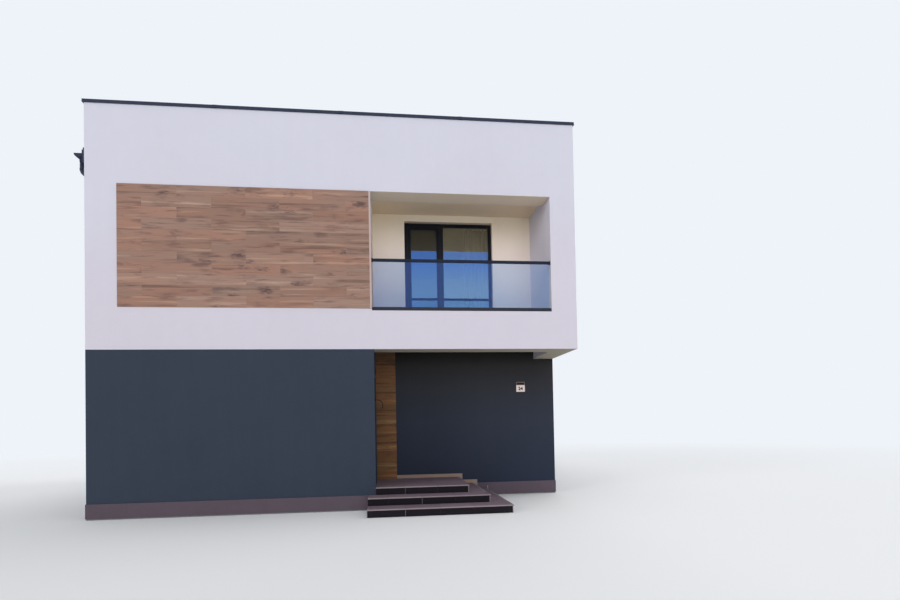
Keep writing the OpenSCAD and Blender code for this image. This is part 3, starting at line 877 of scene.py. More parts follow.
@dataclass(frozen=True)
class Rubber(Finish):
    """Matt black sealing rubber."""

    colour: Colour = paint(24, 24, 26)
    roughness: float = 0.7

    def surface(self, shader: Shader) -> Wire:
        """Builds the rubber."""
        fine = shader.noise(350.0, 2.0)
        tone = 0.85 + fine * 0.3
        return shader.principled(tone * self.colour, self.roughness + fine.swing(0.1))


@dataclass(frozen=True)
class Pane(Finish):
    """Coated window glass: a clear share and a mirrored share with the coat's tint, whose blue is painted
    sky reflection.
    """

    coat: Colour
    clear: Colour
    mirrored: float = 0.0
    rough: float = 0.01
    bare: float = 0.03
    slanted: float = 0.6

    def surface(self, shader: Shader) -> Wire:
        """Builds the glass, which mirrors most where it is seen at a slant."""
        slant = shader.node("ShaderNodeLayerWeight", None, {"Blend": 0.5}, "Facing")
        share = slant.maths("POWER", 5.0) * self.slanted + self.bare
        share = share + shader.outside() * self.mirrored
        return shader.glass(share, self.clear, self.coat, self.rough)


@dataclass(frozen=True)
class ShelteredPane(Pane):
    """Window glass under a soffit, with painted reflections: a blue sky reflection below a fixed line, and
    above it a weak, blurred reflection of the shaded soffit without an outline.
    """

    mirrored: float = 0.38
    bare: float = 0.02
    # Painted reflection: tint of the painted sky at the foot, and tint, share and roughness of the painted
    # soffit reflection above the line
    painted_sky_foot_tint: Colour = tint(1.0, 1.0, 1.0)
    painted_soffit_tint: Colour = tint(0.95, 0.88, 0.68)
    painted_soffit_share: float = 0.15
    painted_soffit_rough: float = 0.55
    # Height of the painted reflection line, how far down the painted sky pales, and how soft the line is
    head: float = PAINTED_REFLECTION_LINE
    fade: float = 0.9
    edge: float = 0.006

    def surface(self, shader: Shader) -> Wire:
        """Builds the glass, with a painted sky reflection that pales towards its foot and a weak painted
        soffit reflection at its head.
        """
        z = shader.parts(shader.place())[2]
        # 1 below the painted reflection line, where the painted sky reflection shows
        painted_sky_mask = z.ramp(self.head + self.edge, self.head - self.edge)
        coat = z.ramp(self.head - self.fade, self.head).blend(self.painted_sky_foot_tint, self.coat)
        coat = painted_sky_mask.blend(self.painted_soffit_tint, coat)
        rough = painted_sky_mask.blend(self.painted_soffit_rough, self.rough)
        share = self.bare + shader.outside() * painted_sky_mask.blend(self.painted_soffit_share, self.mirrored)
        return shader.glass(share, self.clear, coat, rough)


@dataclass(frozen=True)
class Laminated(Pane):
    """Clear laminated safety glass, whose faces tint what is seen through them; the blue tint of what is
    seen in them is painted sky reflection.
    """

    rough: float = 0.03

    def surface(self, shader: Shader) -> Wire:
        """Builds the glass, with a slight haze that comes and goes."""
        share = self.mirrored + shader.noise(0.8, 3.0).swing(0.04)
        return shader.glass(share, self.clear, self.coat, self.rough)


@dataclass(frozen=True)
class Cloth(Finish):
    """Sheer woven curtain cloth."""

    colour: Colour
    thread: float = 5200.0
    relief: float = 0.0002

    def surface(self, shader: Shader) -> Wire:
        """Builds the weave."""
        x, y, z = shader.parts(shader.place())
        warp = ((x + y) * self.thread).maths("SINE")
        weft = (z * self.thread).maths("SINE")
        weave = warp * weft * 0.5 + 0.5
        slub = shader.drawn(3.0, x * 3.0, y * 3.0, z * 160.0)
        tone = 0.92 + slub * 0.12 + weave * 0.04
        normal = shader.bump(weave, self.relief)
        return shader.principled(tone * self.colour, 0.85, Normal=normal, Sheen_Weight=0.2)


@dataclass(frozen=True)
class Storey(Finish):
    """The floor slab: boards on top, render under the porch in a colour that paints the porch's shade and
    warm bounce light, plaster in the rooms.
    """

    boards: Colour
    # Colour under the porch: painted shade and warm bounce light
    soffit: Colour
    board: float = 0.19
    seam: float = 0.49
    margin: float = 0.05
    relief: float = 0.0008

    def surface(self, shader: Shader) -> Wire:
        """Builds the slab's two faces."""
        x, y, _ = shader.parts(shader.place())
        top = shader.tilt() > 0.5
        lines = shader.drawn(5.0, x * 26.0, y * 1.3, 0.0)
        row = (x / self.board).maths("FLOOR")
        seam = ((x / self.board).maths("FRACT") - 0.5).maths("ABSOLUTE") > self.seam
        tone = 0.86 + lines * 0.22 + (row * 0.618).maths("FRACT") * 0.1 - seam * 0.4
        grain = shader.noise(300.0, 2.0)
        recess = Box.of("porch_back_wall")
        porch = (x > recess.low.x - self.margin) * (y < recess.low.y + self.margin)
        # Porch part of the underside: painted shade and warm bounce light
        under = porch.blend(ROOM_PLASTER, (0.94 + grain * 0.12) * self.soffit)
        colour = top.blend(under, tone * self.boards)
        normal = shader.bump(grain, self.relief)
        return shader.principled(colour, 0.6 + grain.swing(0.1), Normal=normal)


@dataclass(frozen=True)
class Timber(Finish):
    """Sawn spruce of the roof deck, with a plaster ceiling under it."""

    colour: Colour
    ceiling: Colour
    relief: float = 0.0015

    def surface(self, shader: Shader) -> Wire:
        """Builds the sawn boards and the ceiling."""
        x, y, z = shader.parts(shader.place())
        lines = shader.drawn(5.0, x * 1.4, y * 34.0, z * 34.0)
        below = shader.tilt() < -0.5
        colour = below.blend((0.8 + lines * 0.4) * self.colour, self.ceiling)
        return shader.principled(colour, 0.75, Normal=shader.bump(lines * (1 - below), self.relief))


class Palette(Enum):
    """Every finish of the house."""

    WHITE = Render("white_render", WHITE_RENDER, SOFFIT_PAINTED_BOUNCE, 0.03, 0.015)
    DARK = Render("dark_render", DARK_RENDER, DARK_RENDER, 0.09, 0.05)
    # Porch back wall: the dark render written darker still, with painted shade that deepens to near black
    # under the soffit
    SHADED_PORCH = Render("porch_painted_shade", DARK_RENDER, DARK_RENDER, 0.09, 0.05, painted_shading=(
        (0.1, paint(44, 51, 67)), (0.5, paint(51, 57, 70)),
        (0.88, paint(53, 53, 55)), (1.0, paint(19, 20, 13)),
    ))
    # Balcony recess walls: a height ramp of painted light and shade, greyer and darker low down, warmer
    # under the ceiling
    CREAM = Render("cream_render", CREAM_RENDER, SOFFIT_PAINTED_BOUNCE, 0.03, 0.012, soffit=6.17, painted_shading=(
        (0.62, paint(235, 224, 224)), (0.86, paint(249, 235, 224)), (0.98, paint(253, 238, 213)),
    ))
    # Balcony ceiling: cream render whose underside colour is darker and warmer, as painted shade and warm
    # bounce light
    SHADED_CEILING = Render("ceiling_painted_shade", CREAM_RENDER, paint(229, 207, 179), 0.03, 0.012)
    BORDER = Render("border_render", paint(190, 172, 168), SOFFIT_PAINTED_BOUNCE, 0.03, 0.01)
    FACADE = Planks(
        "facade_planks",
        paint(119, 94, 84), paint(151, 121, 107), paint(174, 147, 128), paint(80, 63, 66),
    )
    STRIP = Planks(
        "strip_planks",
        paint(83, 58, 39), paint(114, 83, 56), paint(142, 112, 77), paint(62, 43, 31),
    )
    PLINTH = Stone("plinth_tile", paint(88, 77, 87), 0.10, 0.08)
    SKIRTING = Stone("skirting_tile", paint(148, 126, 116), 0.12, 0.06)
    TREAD = Stone("tread_tile", paint(120, 104, 114), 0.16, 0.12)
    TREAD_EDGE = Stone("tread_edge", paint(142, 130, 133), 0.08, 0.08)
    RISER = Stone("riser_tile", paint(18, 13, 20), 0.14, 0.14, 0.45)
    GROUT = Stone("grout", paint(84, 78, 80), 0.08, 0.0, 0.9)
    DARK_GROUT = Stone("dark_grout", paint(66, 61, 66), 0.08, 0.0, 0.9)
    PALE_GROUT = Stone("pale_grout", paint(150, 145, 145), 0.08, 0.0, 0.9)
    PLANK_GROUT = Stone("plank_grout", paint(152, 128, 114), 0.08, 0.0, 0.9)
    CONCRETE = Stone("concrete", paint(118, 120, 124), 0.16, 0.0, 0.85, 0.001)
    BALCONY_TILE = Stone("balcony_tile", paint(196, 184, 168), 0.06, 0.06)
    FLOOR = Storey("floor_slab", paint(186, 162, 132), PORCH_SOFFIT_PAINTED_SHADE)
    SCREED = Stone("screed", paint(178, 174, 168), 0.06, 0.0, 0.7)
    FRAME = Coating("anthracite_frame", paint(18, 21, 30))
    CHANNEL = Coating("channel_coat", paint(44, 46, 57), 0.45, 0.0, 0.02)
    TRIM = Coating("dark_trim", paint(24, 32, 48), 0.45, 0.0, 0.02)
    COPING = Coating("coping_coat", paint(47, 53, 72), 0.45, 0.0, 0.02)
    ROOF = Coating("roof_metal", paint(48, 53, 60), 0.5, 0.006, 0.2)
    LEAF = Coating("door_leaf", paint(40, 44, 51), 0.5)
    WHITE_METAL = Coating("white_metal", paint(222, 222, 220), 0.35)
    STEEL = Metal("brushed_steel", paint(190, 190, 188))
    SPACER = Metal("spacer_bar", paint(150, 152, 156), 0.45)
    SEAL = Rubber("seal")
    # The blue coats of the panes and the rail glass tint their mirrored shares: painted sky reflection
    OUTER_PANE = Pane("coated_pane", tint(0.30, 0.44, 0.78), tint(0.94, 0.95, 0.90), 0.34)
    INNER_PANE = Pane("plain_pane", tint(0.8, 0.85, 0.9), tint(0.98, 0.98, 0.96))
    DOOR_PANE = ShelteredPane(
        "door_pane", tint(0.18, 0.39, 1.0), tint(0.92, 0.90, 0.80), painted_sky_foot_tint=tint(0.46, 0.70, 0.95)
    )
    # The leaf's clear share is grey: painted shade of the dark room behind it
    LEAF_PANE = ShelteredPane(
        "leaf_pane", tint(0.15, 0.36, 1.0), tint(0.46, 0.46, 0.46), painted_sky_foot_tint=tint(0.34, 0.58, 0.90),
        painted_soffit_share=0.06,
    )
    RAIL_GLASS = Laminated("rail_glass", tint(0.20, 0.34, 0.96), tint(0.90, 0.98, 1.0), 0.10)
    # The cloth's colour is partly its own and partly darkened as painted shade of the room behind the door
    CURTAIN = Cloth("curtain_cloth", paint(114, 111, 98))
    TIMBER = Timber("sawn_timber", paint(176, 150, 112), paint(244, 240, 226))
    PLATE = Stone("plate_face", paint(234, 218, 210), 0.03, 0.0, 0.4)
    PLATE_HEAD = Stone("plate_head", paint(112, 99, 94), 0.03, 0.0, 0.4)


def dress(node: str, finish: Palette, eased: float = 0.0) -> None:
    """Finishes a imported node, and eases its sharp edges where they would be eased.

    Args:
        node: Name of the node.
        finish: What it is finished in.
        eased: Radius of its edges, 0 to leave them.
    """
    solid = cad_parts[node]
    solid.data.materials.clear()
    solid.data.materials.append(finish.value.material())
    if eased:
        weld = solid.modifiers.new("weld", "WELD")
        weld.merge_threshold = 0.00005
        bevel = solid.modifiers.new("eased", "BEVEL")
        bevel.width = eased
        bevel.segments = 2
        bevel.limit_method = "ANGLE"
        bevel.angle_limit = math.radians(35)
    log.info("%s in %s", node, finish.value.name)


# Sub-assemblies

@dataclass
class Walls:
    """Rendered walls, slabs and the structure behind them."""

    finishes: tuple[tuple[Palette, tuple[str, ...]], ...] = (
        (Palette.WHITE, (
            "upper_front_wall", "upper_left_wall", "upper_rear_wall", "upper_right_wall",
        )),
        (Palette.DARK, (
            "lower_front_wall", "lower_left_wall", "lower_rear_wall", "lower_right_wall",
            "porch_return_wall",
        )),
        (Palette.SHADED_PORCH, ("porch_back_wall",)),
        (Palette.CREAM, ("balcony_left_wall", "balcony_back_wall")),
        (Palette.SHADED_CEILING, ("balcony_ceiling",)),
        (Palette.CONCRETE, ("foundation",)),
        (Palette.SCREED, ("ground_floor",)),
        (Palette.FLOOR, ("first_floor",)),
        (Palette.TIMBER, ("roof_deck",)),
    )

    def build(self) -> None:
        """Finishes every wall and slab."""
        for finish, nodes in self.finishes:
            for node in nodes:
                dress(node, finish)


@dataclass
class PlankFacing:
    """Wood look planks in rows on a wall that faces the front."""

    pitch: float = 1.204
    row_pitch: float = 0.2018
    gap: float = 0.002
    backing: float = 0.0012
    eased: float = 0.0007
    odd_joint: float = 1.557
    even_joint: float = 0.955
    least_row: float = 0.02
    border_back: float = 0.002

    def lay(self, area: Box, joints: Sequence[Optional[float]], seed: int) -> tuple[Shape, Shape]:
        """Lays planks over an area from its top edge down.

        Args:
            area: The area, as thick as the planks.
            joints: Place of one joint in each kind of row, or None where one plank fills it.
            seed: Start of the planks' random tones.

        Returns:
            The planks and the grout behind them.
        """
        chance = random.Random(seed)
        planks, grout = Shape(), Shape()
        grout.block(area.low + BACK * self.backing, area.high)
        for row in range(math.ceil(area.size.z / self.row_pitch - self.least_row)):
            top = area.high.z - row * self.row_pitch
            bottom = max(top - self.row_pitch + self.gap, area.low.z)
            joint = joints[row % len(joints)]
            spans = [(area.low.x, area.high.x)]
            if joint is not None:
                spans = courses(area.low.x, area.high.x, joint, self.pitch, self.gap)
            for start, end in spans:
                high = (end, area.high.y - self.backing / 2, top)
                planks.block((start, area.low.y, bottom), high, self.eased, chance.random())
        return planks, grout

    def build(self) -> None:
        """Builds the facade panel with the border beside it, and the porch strip."""
        left = Box.of("foundation").low.x
        panel = Box.of("facade_tiles")
        planks, grout = self.lay(panel, (left + self.odd_joint, left + self.even_joint), 11)
        planks.make("facade_planks", Palette.FACADE, "wood_look_tile", ["facade_tiles"])
        grout.make("facade_grout", Palette.PLANK_GROUT, "wood_look_tile")
        border = Shape()
        opening = Box.of("balcony_floor").low.x
        high = (opening, panel.high.y + self.border_back, panel.high.z)
        border.block((panel.high.x, panel.low.y, panel.low.z), high, CRISP)
        border.make("facade_border", Palette.BORDER, "white_render")
        strip, backing = self.lay(Box.of("porch_wood_tiles"), (None,), 5)
        strip.make("porch_planks", Palette.STRIP, "warm_wood_tile", ["porch_wood_tiles"])
        backing.make("porch_grout", Palette.PLANK_GROUT, "warm_wood_tile")


@dataclass
class Plinth:
    """Tiled plinth round the ground storey, and the skirting over the treads."""

    length: float = 1.2
    gap: float = 0.002
    backing: float = 0.002
    joint_at: float = 3.081
    nosing: float = 0.015
    run_on: float = 0.105
    rim: float = 0.02
    cut_tone: float = 0.4
    upright_tone: float = 0.35
    end_tone: float = 0.7
    chance: random.Random = field(default_factory=lambda: random.Random(3))

    def run(self, tiles: Shape, grout: Shape, low: Point, high: Point, inward: tuple[int, int]) -> None:
        """Tiles one straight stretch.

        Args:
            tiles: Where the tiles go.
            grout: Where the grout behind them goes.
            low: Lowest corner of the stretch.
            high: Highest corner of the stretch.
            inward: Way from the tiles' faces to the wall, along X and Y.
        """
        across = 0 if inward[0] else 1
        along = 1 - across
        backs = [Vector(low), Vector(high)]
        backs[inward[across] < 0][across] += inward[across] * self.backing
        grout.block(*backs)
        phase = Box.of("foundation").low.x + self.joint_at
        for start, end in courses(low[along], high[along], phase, self.length, self.gap):
            near, far = Vector(low), Vector(high)
            near[along], far[along] = start, end
            tiles.block(near, far, CRISP, self.chance.random())

    def build(self) -> None:
        """Builds the plinth and the skirting."""
        body, ring = Box.of("foundation"), Box.of("plinth_tiles")
        upper, lower = Box.of("upper_step"), Box.of("lower_step")
        face = Box.of("porch_back_wall").low.y
        base, top = ring.low.z, body.high.z
        thick = ring.high.x - body.high.x
        start, end = upper.high.x + self.run_on, lower.high.x + self.nosing
        tiles, grout = Shape(), Shape()
        for low, high, inward in (
            ((ring.low.x, ring.low.y, base), (upper.low.x, body.low.y, top), (0, 1)),
            ((ring.low.x, body.low.y, base), (body.low.x, ring.high.y, top), (1, 0)),
            ((body.low.x, body.high.y, base), (body.high.x, ring.high.y, top), (0, -1)),
            ((body.high.x, face, base), (ring.high.x, ring.high.y, top), (-1, 0)),
            ((end, face - thick, base), (ring.high.x, face, top), (0, 1)),
        ):
            self.run(tiles, grout, low, high, inward)
        riser = Box.of("step_treads").high.z / len(LEVELS)
        lift = ring.high.z - 2 * riser
        tiles.block((start, face - thick, riser), (end - self.rim, face, lift), CRISP, self.cut_tone)
        tiles.block((start, face - thick, lift), (end, face, top), CRISP, self.cut_tone)
        tiles.make("plinth_tile_ring", Palette.PLINTH, "plinth_tile", ["plinth_tiles"])
        grout.make("plinth_grout", Palette.GROUT, "plinth_tile")
        self.skirting(face, thick, riser)

    def skirting(self, face: float, thick: float, riser: float) -> None:
        """Builds the stepped skirting over the treads, with pale cut ends.

        Args:
            face: Face of the wall behind it.
            thick: Thickness of the tiles.
            riser: Height of one riser.
        """
        edges = [Box.of(name).high.x for name in LEVELS]
        height = Box.of("plinth_tiles").high.z - len(LEVELS) * riser
        start = Box.of("porch_wood_tiles").high.x
        near = face - thick
        band, ends = Shape(), Shape()
        for floor, edge in ((3 * riser, edges[0]), (2 * riser, edges[1])):
            end = edge + self.run_on - self.rim
            for low, high in courses(start, end, start, self.length, self.gap):
                band.block((low, near, floor), (high, face, floor + height), CRISP)
            foot = floor - riser
            high = (end, face, floor - self.gap)
            band.block((edge + self.nosing, near, foot), high, CRISP, self.upright_tone)
            start = end + self.rim
            ends.block((end, near, foot), (start, face, floor + height), CRISP, self.end_tone)
        end = edges[2] + self.nosing
        ends.block((end - self.rim, near, riser), (end, face, riser + height), CRISP)
        band.make("tread_skirting", Palette.SKIRTING, "tread_tile")
        ends.make("skirting_ends", Palette.TREAD_EDGE, "tread_tile")


@dataclass
class Steps:
    """Tread slabs with grooved front strips, and riser tiles with fine joints."""

    tile: float = 0.604
    gap: float = 0.003
    proud: float = 0.002
    strip: float = 0.028
    groove: float = 0.003
    rib: float = 0.009
    bed: float = 0.004
    joints: tuple[float, float, float] = (5.597, 5.885, 5.569)
    wide_joints: tuple[float, float, float] = (0.003, 0.006, 0.009)
    joint_sunk: float = 0.0005
    corner: float = 0.008
    chance: random.Random = field(default_factory=lambda: random.Random(8))
    shapes: dict[str, Shape] = field(default_factory=lambda: defaultdict(Shape))

    @property
    def nosing(self) -> float:
        """How far a tread stands out over its riser."""
        return Box.of("lower_step").low.y - Box.of("step_treads").low.y

    @property
    def depth(self) -> float:
        """Depth of one tread with its nosing."""
        return Box.of("upper_step").low.y - Box.of("lower_step").low.y + self.nosing

    def tread(self, low: Point, high: Point, toward: tuple[int, int]) -> None:
        """Lays one tread tile, whose front edge has a rib between two grooves.

        Args:
            low: Lowest corner.
            high: Highest corner.
            toward: Way to the front edge along X and Y, or two zeros for a plain tile.
        """
        tone = self.chance.random()
        tiles, edges = self.shapes["tread_tiles"], self.shapes["tread_edges"]
        if toward == (0, 0):
            tiles.block(low, high, SOFT, tone)
            return
        axis = 0 if toward[0] else 1
        at = 0.0
        full = high[axis] - low[axis]
        widths = (self.strip, self.rib, full - self.strip - self.rib - 2 * self.groove)
        for width, shape in zip(widths, (edges, edges, tiles)):
            near, far = Vector(low), Vector(high)
            if toward[axis] > 0:
                near[axis], far[axis] = high[axis] - at - width, high[axis] - at
            else:
                near[axis], far[axis] = low[axis] + at, low[axis] + at + width
            shape.block(near, far, min(SOFT, width / 4), tone)
            at += width + self.groove

    def treads(self, level: Box, inner: Optional[Box], heights: Span, joint: float) -> None:
        """Lays the treads of one level in front of and beside the level above it.

        Args:
            level: The level's box.
            inner: Box of the level above, or None for the landing.
            heights: Lower and upper face of the treads.
            joint: Place of one joint across the house.
        """
        base, top = heights
        wall = Box.of("porch_back_wall").low.y
        front, side = level.low.y - self.nosing, level.high.x + self.nosing
        back = inner.low.y if inner else wall
        first = front + self.depth
        rows = [(front, min(first, back), (0, -1))]
        if not inner:
            spans = courses(first, wall, first, self.tile, self.gap)
            rows += [(start, end, (0, 0)) for start, end in spans]
        for near, far, toward in rows:
            behind = near + (self.gap if near > front else 0.0)
            for start, end in courses(level.low.x, side, joint, self.tile, self.gap):
                self.tread((start, behind, base), (end, far, top), toward)
        bed, deep = self.shapes["tread_bed"], self.bed
        bed.block((level.low.x + deep, front + deep, base), (side - deep, back, top - deep))
        if inner:
            for start, end in courses(back, wall, back, self.tile, self.gap):
                self.tread((inner.high.x, start, base), (side, end, top), (1, 0))
            bed.block((inner.high.x, back, base), (side - deep, wall, top - deep))

    def risers(
        self, level: Box, inner: Optional[Box], heights: Span, joint: float, wide: float
    ) -> None:
        """Tiles the upright faces of one level.

        Args:
            level: The level's box.
            inner: Box of the level above, or None for the landing.
            heights: Foot and head of the riser.
            joint: Place of one joint across the house.
            wide: Width of that joint's pale grout.
        """
        foot, head = heights
        front, right, left = level.low.y, level.high.x, level.low.x
        proud = self.proud
        wall = Box.of("porch_back_wall").low.y
        risers = self.shapes["riser_tiles"]
        for start, end in courses(left, right, joint, self.tile, self.gap):
            tone = self.chance.random()
            risers.block((start, front - proud, foot), (end, front + proud, head), CRISP, tone)
        sunk = front - proud + self.joint_sunk
        joints = self.shapes["riser_joints"]
        joints.block((joint - wide / 2, sunk, foot), (joint + wide / 2, front + proud, head))
        for start, end in courses(front, wall, front, self.tile, self.gap):
            tone = self.chance.random()
            risers.block((right - proud, start, foot), (right + proud, end, head), CRISP, tone)
        if inner:
            end = min(inner.low.y, Box.of("foundation").low.y)
            tone = self.chance.random()
            risers.block((left - proud, front, foot), (left + proud, end, head), CRISP, tone)
        self.shapes["step_corner_trims"].block(
            (right - self.corner, front - 2 * proud, foot),
            (right + 2 * proud, front + self.corner, head), SOFT,
        )

    def build(self) -> None:
        """Builds the treads and risers of the landing and the two steps."""
        levels = [Box.of(name) for name in LEVELS]
        step = Box.of("step_treads").high.z / len(LEVELS)
        thick = Box.of("step_treads").high.z - levels[0].high.z
        left = Box.of("foundation").low.x
        for number, level in enumerate(levels):
            inner = levels[number - 1] if number else None
            joint = left + self.joints[number]
            top = (len(LEVELS) - number) * step
            base = top - thick
            foot = max(base - step + thick, 0.0)
            self.treads(level, inner, (base, top), joint)
            self.risers(level, inner, (foot, base), joint, self.wide_joints[number])
            dress(LEVELS[number], Palette.DARK_GROUT)
        for name, *rest in (
            ("tread_tiles", Palette.TREAD, "tread_tile", ["step_treads"]),
            ("tread_edges", Palette.TREAD_EDGE, "tread_tile"),
            ("tread_bed", Palette.GROUT, "tread_tile"),
            ("riser_tiles", Palette.RISER, "black_tile"),
            ("riser_joints", Palette.PALE_GROUT, "black_tile"),
            ("step_corner_trims", Palette.TREAD_EDGE, "tread_tile"),
        ):
            self.shapes[name].make(name, *rest)


@dataclass
class Opening:
    """A pane's opening in a wall, with its own axes: along the wall, inward and up."""

    pane: Box
    groove: float = 0.018

    def __post_init__(self) -> None:
        """Works out the ways inward and along, to the right seen from outside, and the glass that shows."""
        size = self.pane.size
        thin = 0 if size.x < size.y else 1
        self.inward = Vector((0, 0, 0))
        self.inward[thin] = 1.0 if self.pane.middle[thin] < 0 else -1.0
        self.along = self.inward.cross(UP)
        self.thickness = size[thin]
        self.width = size[1 - thin] - 2 * self.groove
        self.height = size.z - 2 * self.groove

    def at(self, side: float, depth: float, up: float) -> Vector:
        """A point seen from the lower middle of the glass's outer face.

        Args:
            side: Distance along the wall.
            depth: Distance inward from the outer face of the glass.
            up: Distance up from the lower edge of the glass that shows.

        Returns:
            The point in the row frame.
        """
        foot = self.pane.middle - self.inward * (self.thickness / 2)
        foot.z = self.pane.low.z + self.groove
        return foot + self.along * side + self.inward * depth + UP * up

    def block(self, shape: Shape, low: Point, high: Point, eased: float = 0.0) -> None:
        """Adds a block given in the opening's own axes."""
        shape.block(self.at(*low), self.at(*high), eased)

    def ring(self, shape: Shape, grow: float, width: float, depths: Span, eased: float = 0.0) -> None:
        """Adds a rectangular ring round the glass.

        Args:
            shape: Where it goes.
            grow: How far its outer edge lies outside the glass that shows.
            width: Width of its bars.
            depths: Depth of its outer and its inner face.
            eased: Chamfer of its edges.
        """
        near, far = depths
        side, top = self.width / 2 + grow, self.height + grow
        self.block(shape, (-side, near, -grow), (side, far, width - grow), eased)
        self.block(shape, (-side, near, top - width), (side, far, top), eased)
        for sign in (-1, 1):
            inner = sign * (side - width)
            self.block(shape, (sign * side, near, width - grow), (inner, far, top - width), eased)


@dataclass
class Glazing:
    """Double panes, spacer bars, seals and sashes of the windows and the balcony door."""

    sheet: float = 0.004
    sheet_free: float = 0.002
    seal: float = 0.005
    spacer: float = 0.009
    spacer_free: float = 0.004
    pocket: float = 0.028
    bead: float = 0.012
    sash: float = 0.034
    sash_proud: float = 0.006
    sash_back: float = 0.004
    rose: Span = (0.014, 0.035)
    rose_thick: float = 0.01
    neck: Span = (0.045, 0.008)
    lever: float = 0.11
    lever_start: float = 0.008
    lever_radius: float = 0.009
    cap: float = 0.004
    cap_drop: float = 0.002
    cap_rise: float = 0.016
    cap_eased: float = 0.0015

    def glaze(self, shapes: dict[str, Shape], opening: Opening) -> None:
        """Adds what holds and seals one pane.

        Args:
            shapes: Meshes of outer sheets, inner sheets, spacers and seals.
            opening: The pane's opening.
        """
        sheet, deep = self.sheet, opening.thickness
        held = opening.groove - self.sheet_free
        half, top = opening.width / 2 + held, opening.height + held
        opening.block(shapes["outer"], (-half, 0, -held), (half, sheet, top))
        opening.block(shapes["inner"], (-half, deep - sheet, -held), (half, deep, top))
        grow = opening.groove - self.spacer_free
        opening.ring(shapes["spacer"], grow, grow + self.spacer, (sheet, deep - sheet))
        for depths in ((-sheet, 0.0), (deep, deep + sheet)):
            opening.ring(shapes["seal"], 0.0, self.seal, depths, CRISP)

    def handle(self, shape: Shape, opening: Opening, side: float, up: float) -> None:
        """Adds a lever handle on the room side.

        Args:
            shape: Where it goes.
            opening: The opening whose sash it turns.
            side: Its place along the wall.
            up: Its height over the glass's lower edge.
        """
        inner = opening.thickness + self.pocket
        wide, tall = self.rose
        low, high = (side - wide, inner, up - tall), (side + wide, inner + self.rose_thick, up + tall)
        opening.block(shape, low, high, ROUND)
        reach, radius = self.neck
        shape.tube([opening.at(side, inner + step, up) for step in (0.0, reach)], radius, 16)
        grip = [opening.at(side, inner + reach, up + step) for step in (self.lever_start, -self.lever)]
        shape.tube(grip, self.lever_radius, 16)

    def build(self) -> None:
        """Builds the glazing of the side and rear windows."""
        shapes = {name: Shape() for name in ("outer", "inner", "spacer", "seal")}
        sashes, handles, ends = Shape(), Shape(), Shape()
        for box in islands("window_glass"):
            opening = Opening(box)
            self.glaze(shapes, opening)
            depths = (-self.pocket - self.sash_proud, -self.pocket + self.sash_back)
            opening.ring(sashes, self.sash, self.sash, depths, ROUND)
            opening.ring(sashes, self.bead, self.bead, (-self.pocket, -self.sheet), SOFT)
            self.handle(handles, opening, opening.width / 2 + self.sash / 2, opening.height / 2)
        for box in islands("window_sills"):
            self.sill_ends(ends, box)
        shapes["inner"].make("window_inner", Palette.INNER_PANE, "clear_glass")
        shapes["spacer"].make("window_spacer", Palette.SPACER, "clear_glass")
        shapes["seal"].make("window_seal", Palette.SEAL, "anthracite_frame")
        shapes["outer"].make("window_panes", Palette.OUTER_PANE, "clear_glass", ["window_glass"])
        sashes.make("window_sashes", Palette.FRAME, "anthracite_frame")
        handles.make("window_handles", Palette.STEEL, "anthracite_frame")
        ends.make("sill_end_caps", Palette.TRIM, "dark_metal")
        dress("window_frames", Palette.FRAME, ROUND)
        dress("window_sills", Palette.TRIM, SOFT)

    def sill_ends(self, shape: Shape, sill: Box) -> None:
        """Adds the upturned ends of one sill, which stand against the reveals.

        Args:
            shape: Where they go.
            sill: The sill's box.
        """
        axis = 1 if sill.size.y > sill.size.x else 0
        for start, step in ((sill.low[axis], self.cap), (sill.high[axis], -self.cap)):
            low, high = sill.low.copy(), sill.high.copy()
            low[axis], high[axis] = start, start + step
            low.z, high.z = sill.high.z - self.cap_drop, sill.high.z + self.cap_rise
            shape.block(low, high, self.cap_eased)


